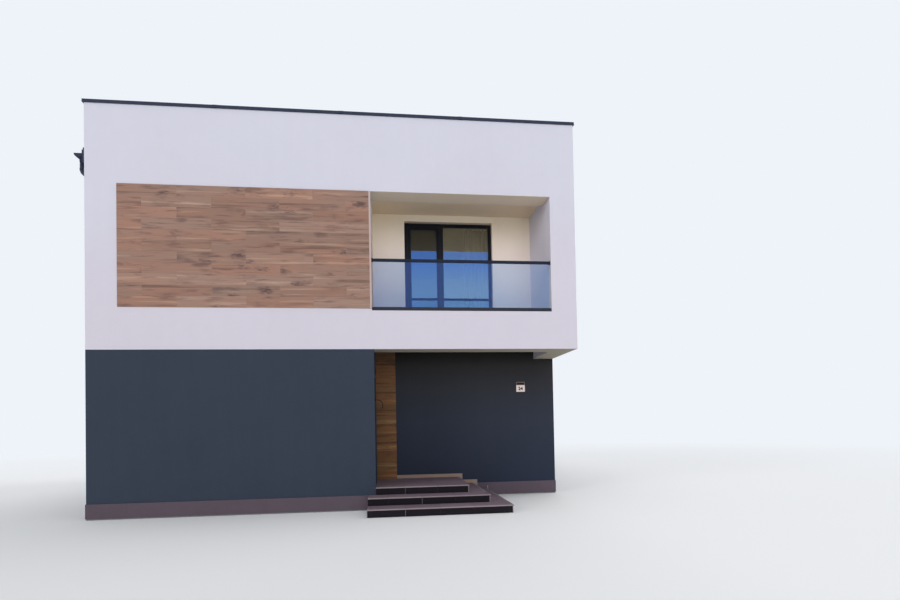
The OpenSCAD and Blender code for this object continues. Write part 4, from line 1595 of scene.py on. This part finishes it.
@dataclass
class BalconyDoor:
    """Balcony door with a narrow leaf and a wide fixed pane."""

    hinge: float = 0.1
    hinge_radius: float = 0.008
    hinges: tuple[float, float, float] = (0.18, 0.5, 0.86)
    handle_in: float = 0.036
    handle_up: float = 0.9
    drip: Span = (0.03, 0.02)
    rebate: float = 0.004
    rebate_proud: float = 0.0015

    def build(self) -> None:
        """Builds the door's glazing, seals, hinges and handle."""
        shapes = {name: Shape() for name in ("outer", "inner", "spacer", "seal")}
        glazing = Glazing()
        beads, fittings, handle, fixed, turning = (Shape() for _ in range(5))
        leaf, surround = Box.of("balcony_door_leaf"), Box.of("balcony_door_frame")
        for box in islands("balcony_door_glass"):
            opening = Opening(box)
            in_leaf = box.high.x < leaf.high.x
            shapes["outer"] = turning if in_leaf else fixed
            glazing.glaze(shapes, opening)
            depths = (-glazing.pocket + glazing.sash_back, -glazing.sheet)
            opening.ring(beads, glazing.bead, glazing.bead, depths, SOFT)
            if in_leaf:
                side = opening.width / 2 + self.handle_in
                glazing.handle(handle, opening, side, self.handle_up)
        self.rebates(shapes["seal"], leaf)
        for up in self.hinges:
            foot = leaf.low - Vector((self.hinge_radius, self.hinge_radius, 0)) / 2
            foot.z += leaf.size.z * up
            fittings.tube([foot, foot + UP * self.hinge], self.hinge_radius)
        out, rise = self.drip
        high = (surround.high.x, surround.low.y, surround.low.z + rise)
        fittings.block(surround.low - BACK * out, high, ROUND)
        fixed.make("door_pane", Palette.DOOR_PANE, "clear_glass", ["balcony_door_glass"])
        turning.make("leaf_pane", Palette.LEAF_PANE, "clear_glass")
        shapes["inner"].make("door_inner_panes", Palette.INNER_PANE, "clear_glass")
        shapes["spacer"].make("door_spacers", Palette.SPACER, "clear_glass")
        shapes["seal"].make("door_seals", Palette.SEAL, "anthracite_frame")
        beads.make("door_beads", Palette.FRAME, "anthracite_frame")
        fittings.make("door_fittings", Palette.FRAME, "anthracite_frame")
        handle.make("door_handle", Palette.STEEL, "anthracite_frame")
        dress("balcony_door_frame", Palette.FRAME, ROUND)
        dress("balcony_door_leaf", Palette.FRAME, FULL)

    def rebates(self, shape: Shape, leaf: Box) -> None:
        """Adds the dark rebate line between the leaf and its frame.

        Args:
            shape: Where it goes.
            leaf: The leaf's box.
        """
        half = self.rebate / 2
        near, far = leaf.low.y - self.rebate_proud, leaf.low.y + self.rebate
        for x in (leaf.low.x, leaf.high.x):
            shape.block((x - half, near, leaf.low.z), (x + half, far, leaf.high.z))
        for z in (leaf.low.z, leaf.high.z):
            shape.block((leaf.low.x, near, z - half), (leaf.high.x, far, z + half))


@dataclass
class Curtain:
    """Sheer curtain that hangs gathered from its track behind the balcony door."""

    folds: int = 7
    steps: int = 16
    rows: int = 36
    swing: float = 0.036
    clear: float = 0.004
    margin: float = 0.012
    drift: float = 0.004
    # Least width and swing of a fold as shares of an even one, and what chance adds to them
    widths: Span = (0.75, 0.5)
    swings: Span = (0.82, 0.36)
    # Drifts to and fro on the way down, and how far apart the folds are in them
    sway: Span = (2.2, 1.7)
    runner: tuple[float, float, float] = (0.006, 0.004, 0.006)
    chance: random.Random = field(default_factory=lambda: random.Random(21))

    def lines(self, space: Box, starts: Sequence[float]) -> list[list[Vector]]:
        """Shapes the cloth as level lines from the track down.

        Args:
            space: The box that it hangs in.
            starts: Where each fold starts, as a share of the width, and where the last one ends.

        Returns:
            The points of each line.
        """
        least, more = self.swings
        turns, apart = self.sway
        swings = [self.swing * (least + more * self.chance.random()) for _ in range(self.folds)]
        lines = []
        for row in range(self.rows + 1):
            drop = row / self.rows
            z = space.high.z - self.clear - drop * (space.size.z - self.clear)
            line = []
            for column in range(self.folds * self.steps + 1):
                fold = min(column // self.steps, self.folds - 1)
                part = (column - fold * self.steps) / self.steps
                share = starts[fold] + (starts[fold + 1] - starts[fold]) * part
                wave = math.sin(math.tau * part) * (0.94 + 0.06 * math.cos(3 * drop + fold))
                lean = math.sin(turns * drop * math.pi + fold * apart) * math.sin(math.pi * drop)
                x = space.low.x + self.margin + share * (space.size.x - 2 * self.margin)
                line.append(Vector((x + self.drift * lean, space.middle.y + wave * swings[fold], z)))
            lines.append(line)
        return lines

    def build(self) -> None:
        """Builds the cloth and its runners."""
        space, rail = Box.of("curtain"), Box.of("curtain_track")
        least, more = self.widths
        widths = [least + more * self.chance.random() for _ in range(self.folds)]
        starts = [sum(widths[:i]) / sum(widths) for i in range(self.folds + 1)]
        lines = self.lines(space, starts)
        count = len(lines[0])
        faces = [
            (row * count + i, row * count + i + 1, (row + 1) * count + i + 1, (row + 1) * count + i)
            for row in range(self.rows) for i in range(count - 1)
        ]
        shape, runners = Shape(), Shape()
        shape.add([point for line in lines for point in line], faces, rounded=[True] * len(faces))
        cloth = shape.make("curtain_cloth", Palette.CURTAIN, "curtain_fabric", ["curtain"])
        wide, deep, tall = self.runner
        for start in starts:
            x = space.low.x + self.margin + start * (space.size.x - 2 * self.margin)
            low = (x - wide, space.middle.y - deep, rail.low.z - tall)
            runners.block(low, (x + wide, space.middle.y + deep, rail.low.z), CRISP)
        hooks = runners.make("curtain_runners", Palette.WHITE_METAL, "white_metal")
        flat = [sum((b - a).length for a, b in zip(line, line[1:])) for line in lines]
        dress("curtain_track", Palette.WHITE_METAL, SOFT)


@dataclass
class Rail:
    """Glass balcony rail: seals, end fittings and the cover lines of the base channel."""

    seal: float = 0.004
    foot_seal: Span = (-0.004, 0.005)
    head_seal: Span = (-0.003, 0.003)
    held: float = 0.018
    screw: float = 0.006
    screw_in: float = 0.013
    screw_depths: Span = (-0.003, 0.002)
    plate: float = 0.004
    plate_size: Span = (0.062, 0.078)
    end_drop: float = 0.006
    cover: float = 0.006
    cover_proud: float = 0.0015

    def build(self) -> None:
        """Builds the seals and fittings, and finishes the rail's solids."""
        glass, bar, channel = Box.of("rail_glass"), Box.of("handrail"), Box.of("rail_channel")
        seals, fittings = Shape(), Shape()
        for face, way in ((glass.low.y, -1), (glass.high.y, 1)):
            outer = face + way * self.seal
            for edge, (down, up) in (
                (channel.high.z, self.foot_seal), (glass.high.z - self.held, self.head_seal),
            ):
                seals.block((glass.low.x, face, edge + down), (glass.high.x, outer, edge + up), CRISP)
        wide, tall = self.plate_size
        for x, way, end in ((bar.low.x, 1, channel.low.x), (bar.high.x, -1, channel.high.x)):
            for up in (0.25, 0.75):
                at = Vector((x + way * self.screw_in, bar.low.y, bar.low.z + bar.size.z * up))
                fittings.tube([at + BACK * depth for depth in self.screw_depths], self.screw, 16)
            fittings.block(
                (x, bar.middle.y - wide / 2, bar.middle.z - tall / 2),
                (x + way * self.plate, bar.middle.y + wide / 2, bar.middle.z + tall / 2), CRISP,
            )
            high = (end, channel.high.y, channel.high.z - self.end_drop)
            fittings.block((x, channel.low.y, channel.low.z), high, SOFT)
        fittings.block(
            (channel.low.x, channel.low.y - self.cover_proud, channel.low.z + self.cover),
            (channel.high.x, channel.low.y, channel.high.z - self.cover), CRISP,
        )
        seals.make("rail_seals", Palette.SEAL, "dark_metal")
        fittings.make("rail_fittings", Palette.CHANNEL, "dark_metal")
        dress("rail_glass", Palette.RAIL_GLASS)
        dress("handrail", Palette.TRIM, FULL)
        dress("rail_channel", Palette.CHANNEL, ROUND)


@dataclass
class BalconyFloor:
    """Tiles of the balcony floor and their skirting."""

    tile: float = 0.6
    gap: float = 0.004
    thick: float = 0.01
    proud: float = 0.002
    eased: float = 0.0015
    skirting: float = 0.07

    def build(self) -> None:
        """Lays the tiles."""
        floor, wall = Box.of("balcony_floor"), Box.of("balcony_back_wall").low.y
        level, door = floor.high.z, Box.of("balcony_door_frame")
        chance = random.Random(17)
        tiles = Shape()
        for near, far in courses(floor.low.y, floor.high.y, floor.low.y, self.tile, self.gap):
            for start, end in courses(floor.low.x, floor.high.x, floor.low.x, self.tile, self.gap):
                low, high = (start, near, level - self.thick), (end, far, level + self.proud)
                tiles.block(low, high, self.eased, chance.random())
        for start, end in ((floor.low.x, door.low.x), (door.high.x, floor.high.x)):
            low, high = (start, wall - self.thick, level), (end, wall, level + self.skirting)
            tiles.block(low, high, self.eased)
        tiles.make("balcony_tiles", Palette.BALCONY_TILE, "balcony_tile")
        dress("balcony_floor", Palette.GROUT)


@dataclass
class Entrance:
    """Entrance door in the porch's side wall: boards, seals, lock and threshold."""

    boards: int = 6
    gap: float = 0.008
    sunk: float = 0.002
    proud: float = 0.005
    seal: float = 0.003
    seal_depths: Span = (-0.004, 0.001)
    lock_in: float = 0.19
    lock_up: float = 0.42
    lock_parts: tuple[tuple[Span, float], ...] = (((-0.002, 0.008), 0.026), ((0.006, 0.012), 0.009))
    hinges: tuple[float, float, float] = (0.1, 0.5, 0.9)
    hinge_out: float = 0.008
    hinge_radius: float = 0.009
    hinge: float = 0.1
    threshold: tuple[float, float, float] = (0.06, -0.002, 0.006)

    def build(self) -> None:
        """Builds the door's face and fittings."""
        surround, leaf = Box.of("entrance_frame"), Box.of("entrance_leaf")
        face = surround.high.x
        near, far = leaf.low.y, leaf.high.y
        pitch = leaf.size.z / self.boards
        boards, seals, metal = Shape(), Shape(), Shape()
        for i in range(self.boards):
            foot = leaf.low.z + i * pitch + self.gap / 2
            high = (face + self.proud, far - self.gap, foot + pitch - self.gap)
            boards.block((face - self.sunk, near + self.gap, foot), high, SOFT)
        inner, outer = (face + depth for depth in self.seal_depths)
        for y in (near, far):
            seals.block((inner, y - self.seal, leaf.low.z), (outer, y + self.seal, leaf.high.z))
        seals.block((inner, near, leaf.high.z - self.seal), (outer, far, leaf.high.z + self.seal))
        lock = Vector((face + self.proud, near + self.lock_in, leaf.low.z + self.lock_up * leaf.size.z))
        for depths, radius in self.lock_parts:
            metal.tube([lock + Vector((depth, 0, 0)) for depth in depths], radius)
        for up in self.hinges:
            foot = Vector((face + self.hinge_out, far, leaf.low.z + up * leaf.size.z))
            metal.tube([foot, foot + UP * self.hinge], self.hinge_radius)
        out, down, up = self.threshold
        high = (face + out, surround.high.y, surround.low.z + up)
        metal.block(surround.low + UP * down, high, SOFT)
        boards.make("entrance_boards", Palette.LEAF, "door_leaf")
        seals.make("entrance_seals", Palette.SEAL, "anthracite_frame")
        metal.make("entrance_fittings", Palette.STEEL, "dark_metal")
        dress("entrance_frame", Palette.FRAME, ROUND)
        dress("entrance_leaf", Palette.LEAF, SOFT)


@dataclass
class NumberPlate:
    """House number plate: a pale face with plain digits under a dim head with a dark band."""

    digits: str = "24"
    rim: float = 0.016
    face: float = 0.148
    face_sunk: float = 0.006
    band: Span = (0.158, 0.200)
    band_sunk: float = 0.007
    head_sunk: float = 0.002
    letter: float = 0.100
    bold: float = 0.0035
    letter_depth: float = 0.0015
    letter_at: Span = (0.005, 0.038)

    def build(self) -> None:
        """Builds the plate, its head and its digits."""
        space = Box.of("number_plate")
        low, high = space.low, space.high
        split = low.z + self.face
        band_low, band_high = (low.z + height for height in self.band)
        face, head, dark = Shape(), Shape(), Shape()
        rim, front = self.rim, low.y + self.head_sunk
        inside = (low.x + rim, high.x - rim)
        face.block((inside[0], low.y + self.face_sunk, low.z + rim), (inside[1], high.y, split - rim))
        for z in (low.z, split - rim):
            face.block((low.x, low.y, z), (high.x, high.y, z + rim), SOFT)
        for x in (low.x, inside[1]):
            face.block((x, low.y, low.z + rim), (x + rim, high.y, split - rim), SOFT)
            head.block((x, front, band_low), (x + rim, high.y, band_high), CRISP)
        for foot, top in ((split, band_low), (band_high, high.z)):
            head.block((low.x, front, foot), (high.x, high.y, top), CRISP)
        dark.block((inside[0], low.y + self.band_sunk, band_low), (inside[1], high.y, band_high))
        face.make("plate_body", Palette.PLATE, "plate", ["number_plate"])
        head.make("plate_head", Palette.PLATE_HEAD, "plate")
        dark.make("plate_band", Palette.FRAME, "plate")
        self.write(space)

    def write(self, space: Box) -> None:
        """Sets the digits on the plate as a mesh.

        Args:
            space: The plate's box.
        """
        curve = bpy.data.curves.new("digits", "FONT")
        curve.body = self.digits
        curve.size = self.letter
        curve.extrude = self.letter_depth
        curve.offset = self.bold
        curve.align_x = "CENTER"
        text = bpy.data.objects.new("digits", curve)
        bpy.context.scene.collection.objects.link(text)
        bpy.context.view_layer.update()
        mesh = bpy.data.meshes.new_from_object(text.evaluated_get(bpy.context.evaluated_depsgraph_get()))
        bpy.data.objects.remove(text)
        inward, up = self.letter_at
        foot = Vector((space.middle.x, space.low.y + inward, space.low.z + up))
        mesh.transform(Matrix.Translation(foot) @ Matrix.Rotation(math.pi / 2, 4, "X"))
        mount("plate_digits", mesh, Palette.FRAME)


@dataclass
class Roof:
    """Parapet coping, metal facing, eave and roof sheet."""

    inset: float = 0.002
    cover: float = 0.09
    length: float = 2.2
    fall: float = 0.008
    lip: float = 0.012
    lip_step: float = 0.004
    sheet: float = 0.003
    seam_pitch: float = 0.52
    seam: Span = (0.01, 0.022)
    skin: float = 0.006
    flashing: float = 0.02
    low_side: float = 0.45
    slab: float = 0.03
    follow: float = 0.9

    def build(self) -> None:
        """Builds the coping and the seams, and finishes the roof's solids."""
        self.coping()
        self.facing()
        for node in ("roof_sheet", "parapet_facing"):
            dress(node, Palette.ROOF)
        dress("eave_board", Palette.COPING, SOFT)
        dress("wall_hook", Palette.FRAME)

    def profile(self, width: float, height: float, inset: float) -> list[Span]:
        """Cross section of the coping, from its outer foot round to its inner foot.

        Args:
            width: Width over both legs.
            height: Height of the outer leg.
            inset: How far its faces lie inside the full size.

        Returns:
            Points as distance inward and height.
        """
        out, top, back = inset, height - inset, width - inset
        leg, lip, low = self.sheet, self.lip, height - inset - self.fall
        return [
            (out, 0.0), (out, lip), (out + leg, lip + self.lip_step), (out + leg, top - leg),
            (out + 2 * leg, top), (back - 2 * leg, low), (back - leg, low - leg),
            (back - leg, lip), (back, lip - self.lip_step), (back, 0.0),
        ]

    def coping(self) -> None:
        """Builds the coping in one mitred run with a cover strip over each joint."""
        space, wall = Box.of("parapet_coping"), Box.of("upper_right_wall")
        width = space.high.x - Box.of("roof_deck").high.x + (space.high.x - wall.high.x)
        (west, south, z), (east, north, _) = space.low, space.high
        turns = [Vector((x, y, z)) for x, y in ((west, south), (east, south), (east, north), (west, north))]
        run, covers = Shape(), Shape()
        run.sweep(self.profile(width, space.size.z, self.inset), turns)
        full = self.profile(width, space.size.z, 0.0)
        for start, end in zip(turns, turns[1:]):
            span = end - start
            half = span.normalized() * self.cover / 2
            count = round(span.length / self.length)
            for i in range(1, count):
                at = start + span * (i / count)
                covers.sweep(full, [at - half, at + half])
        run.make("coping_run", Palette.COPING, "dark_metal", ["parapet_coping"])
        covers.make("coping_joint_covers", Palette.COPING, "dark_metal")

    def facing(self) -> None:
        """Builds the upright seams of the sheet behind the parapets."""
        space, roof = Box.of("parapet_facing"), Box.of("roof_sheet").size
        seams = Shape()
        pitch, (wide, deep) = self.seam_pitch, self.seam
        inner, bottom, top = space.high.x - self.skin, space.low.z + self.flashing, space.high.z
        for start, _ in courses(space.low.y + pitch / 2, space.high.y, space.low.y, pitch, wide):
            low = (inner - deep, start, bottom + self.low_side)
            seams.block(low, (inner, start + wide, top), CRISP)
        slope = (roof.z - self.slab) / roof.x * self.follow
        for start, _ in courses(space.low.x + pitch / 2, space.high.x, space.low.x, pitch, wide):
            foot = bottom + slope * (start - space.low.x)
            for y, way in ((space.low.y + self.skin, 1), (space.high.y - self.skin, -1)):
                seams.block((start, y, foot), (start + wide, y + way * deep, top), CRISP)
        seams.make("facing_seams", Palette.ROOF, "roof_metal")


@dataclass
class Rainwater:
    """Half round gutter with its brackets, and the downpipe with its swan neck."""

    steps: int = 28
    sheet: float = 0.002
    slack: float = 0.0015
    bead: float = 0.008
    lap: float = 0.004
    upstand: float = 0.03
    strap: float = 0.003
    bracket_pitch: float = 0.78
    bracket_start: float = 0.05
    bracket: float = 0.025
    sleeve: float = 0.12
    sleeve_free: float = 0.0005
    sides: int = 32
    pipe: float = 0.042
    socket: float = 0.0455
    bend: float = 0.09
    bend_steps: int = 8
    wall_gap: float = 0.030
    outlet: float = 0.215
    outlet_ends: Span = (-0.03, 0.006)
    neck: float = 0.51
    elbow_ends: Span = (0.06, 0.11)
    heel_ends: Span = (-0.12, -0.05)
    knee_ends: Span = (0.03, 0.07)
    foot_ends: tuple[Span, Span, Span] = ((2.0, 2.07), (0.0, 0.05), (4.0, 4.07))
    clip: float = 0.03
    clip_in: float = 0.6
    band: float = 0.004
    stem: Span = (0.008, 0.005)
    ear: Span = (0.018, 0.004)
    ear_start: float = 0.002

    def arc(self, centre: Vector, radius: float, start: float, end: float) -> list[Vector]:
        """Points on an arc across the gutter, with angles in degrees from +X towards +Z."""
        angles = [math.radians(start + (end - start) * i / self.steps) for i in range(self.steps + 1)]
        return [centre + Vector((math.cos(a), 0, math.sin(a))) * radius for a in angles]

    def trough(self, shape: Shape, centre: Vector, radius: float, thick: float, long: float) -> None:
        """Adds a half round strip along the gutter, centred on its top at its front end."""
        outline = self.arc(centre, radius, 180, 360) + self.arc(centre, radius - thick, 360, 180)
        shape.prism(outline, BACK * long, smooth=True)

    def build(self) -> None:
        """Builds the gutter and the downpipe."""
        space = Box.of("gutter")
        centre = Vector((space.middle.x, space.low.y, space.high.z))
        radius, length = space.size.x / 2, BACK * space.size.y
        run, extras = Shape(), Shape()
        self.trough(run, centre, radius - self.slack, self.sheet, space.size.y)
        front = centre + Vector((-radius + self.bead, 0, -self.bead))
        run.tube([front, front + length], self.bead, 16)
        back = centre + Vector((radius - self.lap, 0, 0))
        run.block(back - UP * self.lap, back + Vector((self.sheet, 0, self.upstand)) + length)
        for y in (0.0, space.size.y - self.sheet):
            cap = self.arc(centre + BACK * y, radius - self.slack, 180, 360)
            run.prism(cap, BACK * self.sheet)
        count, strap = round(space.size.y / self.bracket_pitch), self.strap
        for i in range(count + 1):
            y = self.bracket_start + (space.size.y - 2 * self.bracket_start - self.bracket) * i / count
            self.trough(extras, centre + BACK * y, radius, strap, self.bracket)
            low = centre + Vector((-radius + strap, y, -strap))
            extras.block(low, low + Vector((2 * radius - strap, self.bracket, strap)), CRISP)
        for share in (1 / 3, 2 / 3):
            at = centre + length * share
            self.trough(extras, at, radius - self.sleeve_free, self.sheet, self.sleeve)
        run.make("gutter_run", Palette.COPING, "dark_metal", ["gutter"])
        self.downpipe(centre, radius, extras)
        extras.make("gutter_brackets", Palette.COPING, "dark_metal")

    def downpipe(self, centre: Vector, radius: float, extras: Shape) -> None:
        """Builds the pipe, its sockets and its wall clips.

        Args:
            centre: Middle of the gutter's top at its front end.
            radius: The gutter's radius.
            extras: Where the outlet goes.
        """
        old, wall = Box.of("downpipe"), Box.of("foundation").low.x
        y = old.middle.y
        top = Vector((centre.x, y, centre.z - radius + self.lap))
        knee = Vector((centre.x, y, centre.z - radius - self.outlet))
        heel = Vector((wall - self.wall_gap - self.pipe, y, centre.z - self.neck))
        foot = Vector((heel.x, y, old.low.z))
        pipe, clips = Shape(), Shape()
        path = [top, *self.curve(top, knee, heel), *self.curve(knee, heel, foot), foot]
        pipe.tube(path, self.pipe, self.sides)
        ends = [(foot, UP, ends) for ends in self.foot_ends]
        slant = (heel - knee).normalized()
        for at, way, span in (
            (heel, UP, self.heel_ends), *ends, (knee, slant, self.elbow_ends), (knee, UP, self.knee_ends),
        ):
            pipe.tube([at + way * step for step in span], self.socket, self.sides)
        extras.tube([top + UP * step for step in self.outlet_ends], self.socket, self.sides)
        split = Box.of("upper_left_wall").low.z
        for z in (foot.z + self.clip_in, split - self.clip_in, heel.z - self.clip_in):
            self.clamp(clips, Vector((heel.x, y, z)), wall)
        pipe.make("downpipe_run", Palette.COPING, "dark_metal", ["downpipe"])
        clips.make("downpipe_clips", Palette.COPING, "dark_metal")

    def curve(self, before: Vector, corner: Vector, after: Vector) -> list[Vector]:
        """Rounds a corner of the pipe's centre line.

        Args:
            before: The corner before it.
            corner: The corner itself.
            after: The corner after it.

        Returns:
            Points of the bend.
        """
        one, two = (before - corner).normalized(), (after - corner).normalized()
        reach = min(self.bend * 0.5, (before - corner).length * 0.9)
        start, end = corner + one * reach, corner + two * reach
        shares = [i / self.bend_steps for i in range(self.bend_steps + 1)]
        return [start * (1 - t) ** 2 + corner * 2 * t * (1 - t) + end * t ** 2 for t in shares]

    def clamp(self, shape: Shape, foot: Vector, wall: float) -> None:
        """Adds a wall clip: a band round the pipe, a stem to the wall and two ears.

        Args:
            shape: Where it goes.
            foot: Middle of the pipe at the clip's lower edge.
            wall: Place of the wall's face.
        """
        x, y, z = foot
        shape.tube([foot, foot + UP * self.clip], self.pipe + self.band, self.sides)
        half, short = self.stem
        shape.block((x, y - half, z + short), (wall, y + half, z + self.clip - short), CRISP)
        long, thick = self.ear
        for way in (-1, 1):
            edge = y + way * (self.pipe + self.ear_start)
            high = (x + thick, edge + way * long, z + self.clip - thick)
            shape.block((x - thick, edge, z + thick), high, CRISP)


@dataclass
class Studio:
    """Plain floor, soft lights, pale background and the camera."""

    eye: tuple[float, float, float] = (0.771, -15.198, 1.572)
    yaw: float = 0.1164
    pitch: float = 0.0185
    roll: float = -0.0183
    lens: float = 21.6
    sensor: float = 36.0
    shift: float = 0.1272
    sight: float = 2000.0
    background: Colour = paint(238, 243, 249)
    ambient: float = 0.47
    ground: Colour = paint(246, 246, 246)
    matt: float = 0.95
    drop: float = 0.002
    fade: Span = (9.0, 34.0)
    reach: float = 600.0
    # Name, strength, apparent width in degrees and direction of each broad light
    suns: tuple[tuple[str, float, float, Point], ...] = (
        ("key_light", 0.92, 32.0, (0.06, -1.0, 0.16)),
        ("left_light", 0.95, 32.0, (-1.0, -0.7, 0.22)),
        ("right_light", 0.6, 30.0, (1.0, 0.35, 0.75)),
        ("rear_light", 0.9, 40.0, (0.3, 1.0, 0.5)),
        ("sky_light", 0.5, 60.0, (0.0, -0.2, 1.0)),
    )

    def build(self) -> None:
        """Builds the whole studio."""
        self.camera()
        self.world()
        self.floor()
        for name, power, spread, source in self.suns:
            lamp = bpy.data.lights.new(name, "SUN")
            lamp.energy = power
            lamp.angle = math.radians(spread)
            light = bpy.data.objects.new(name, lamp)
            light.rotation_mode = "QUATERNION"
            light.rotation_quaternion = Vector(source).to_track_quat("Z", "Y")
            light.visible_glossy = False
            bpy.context.scene.collection.objects.link(light)

    def camera(self) -> None:
        """Puts the camera at the viewing angle of the photograph."""
        settings = bpy.data.cameras.new("camera")
        settings.lens = self.lens
        settings.sensor_width = self.sensor
        settings.shift_y = self.shift
        settings.clip_end = self.sight
        camera = bpy.data.objects.new("camera", settings)
        flat = math.cos(self.pitch)
        ahead = Vector((math.sin(self.yaw) * flat, math.cos(self.yaw) * flat, math.sin(self.pitch)))
        level = Vector((math.cos(self.yaw), -math.sin(self.yaw), 0.0))
        rise = level.cross(ahead)
        right = level * math.cos(self.roll) + rise * math.sin(self.roll)
        up = rise * math.cos(self.roll) - level * math.sin(self.roll)
        turn = Matrix((right, up, -ahead)).transposed().to_4x4()
        camera.matrix_world = Matrix.Translation(Vector(self.eye)) @ turn
        bpy.context.scene.collection.objects.link(camera)
        bpy.context.scene.camera = camera

    def seen(self, shader: Shader) -> Wire:
        """Tells the rays that show the background from those that only light the house.

        Args:
            shader: The material's or the world's node tree.

        Returns:
            1 for rays that show it straight, mirrored or through glass, and 0 for the rest.
        """
        rays = [
            shader.node("ShaderNodeLightPath", output=name)
            for name in ("Is Camera Ray", "Is Glossy Ray", "Is Transmission Ray")
        ]
        return rays[0].maths("MAXIMUM", rays[1]).maths("MAXIMUM", rays[2])

    def world(self) -> None:
        """Lights the scene evenly and shows a pale background."""
        world = bpy.data.worlds.new("studio")
        bpy.context.scene.world = world
        shader = Shader(world)
        strength = self.seen(shader).blend(self.ambient, 1.0)
        light = shader.node("ShaderNodeBackground", None, {"Color": self.background, "Strength": strength})
        shader.show(light, "ShaderNodeOutputWorld")

    def floor(self) -> None:
        """Lays a pale floor that fades into the background far from the house."""
        mesh = bpy.data.meshes.new("floor")
        work = bmesh.new()
        bmesh.ops.create_circle(work, cap_ends=True, segments=96, radius=self.reach)
        work.to_mesh(mesh)
        work.free()
        floor = bpy.data.objects.new("floor", mesh)
        floor.location.z = -self.drop
        bpy.context.scene.collection.objects.link(floor)
        material = bpy.data.materials.new("floor")
        shader = Shader(material)
        x, y, _ = shader.parts(shader.place())
        distance = (x * x + y * y).maths("SQRT")
        far = distance.ramp(*self.fade) * self.seen(shader)
        matt = shader.principled(self.ground, self.matt)
        pale = shader.node("ShaderNodeEmission", None, {"Color": self.background, "Strength": 1.0})
        shader.show(shader.mix(far, matt, pale))
        mesh.materials.append(material)
        floor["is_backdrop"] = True


def corners(box: tuple[Vector, Vector]) -> list[list[float]]:
    """A box as plain lists of numbers."""
    return [list(box[0]), list(box[1])]


def main() -> None:
    """Builds the scene piece by piece."""
    logging.basicConfig(level=logging.INFO, format="%(name)s: %(message)s")
    bpy.context.scene.view_settings.view_transform = "Standard"
    Studio().build()
    for part in (
        Walls(), PlankFacing(), Plinth(), Steps(), Glazing(), BalconyDoor(), Curtain(), Rail(),
        BalconyFloor(), Entrance(), NumberPlate(), Roof(), Rainwater(),
    ):
        part.build()
    {"cad": corners(cad_box), "visual": corners(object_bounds())}


if __name__ == "__main__":
    main()
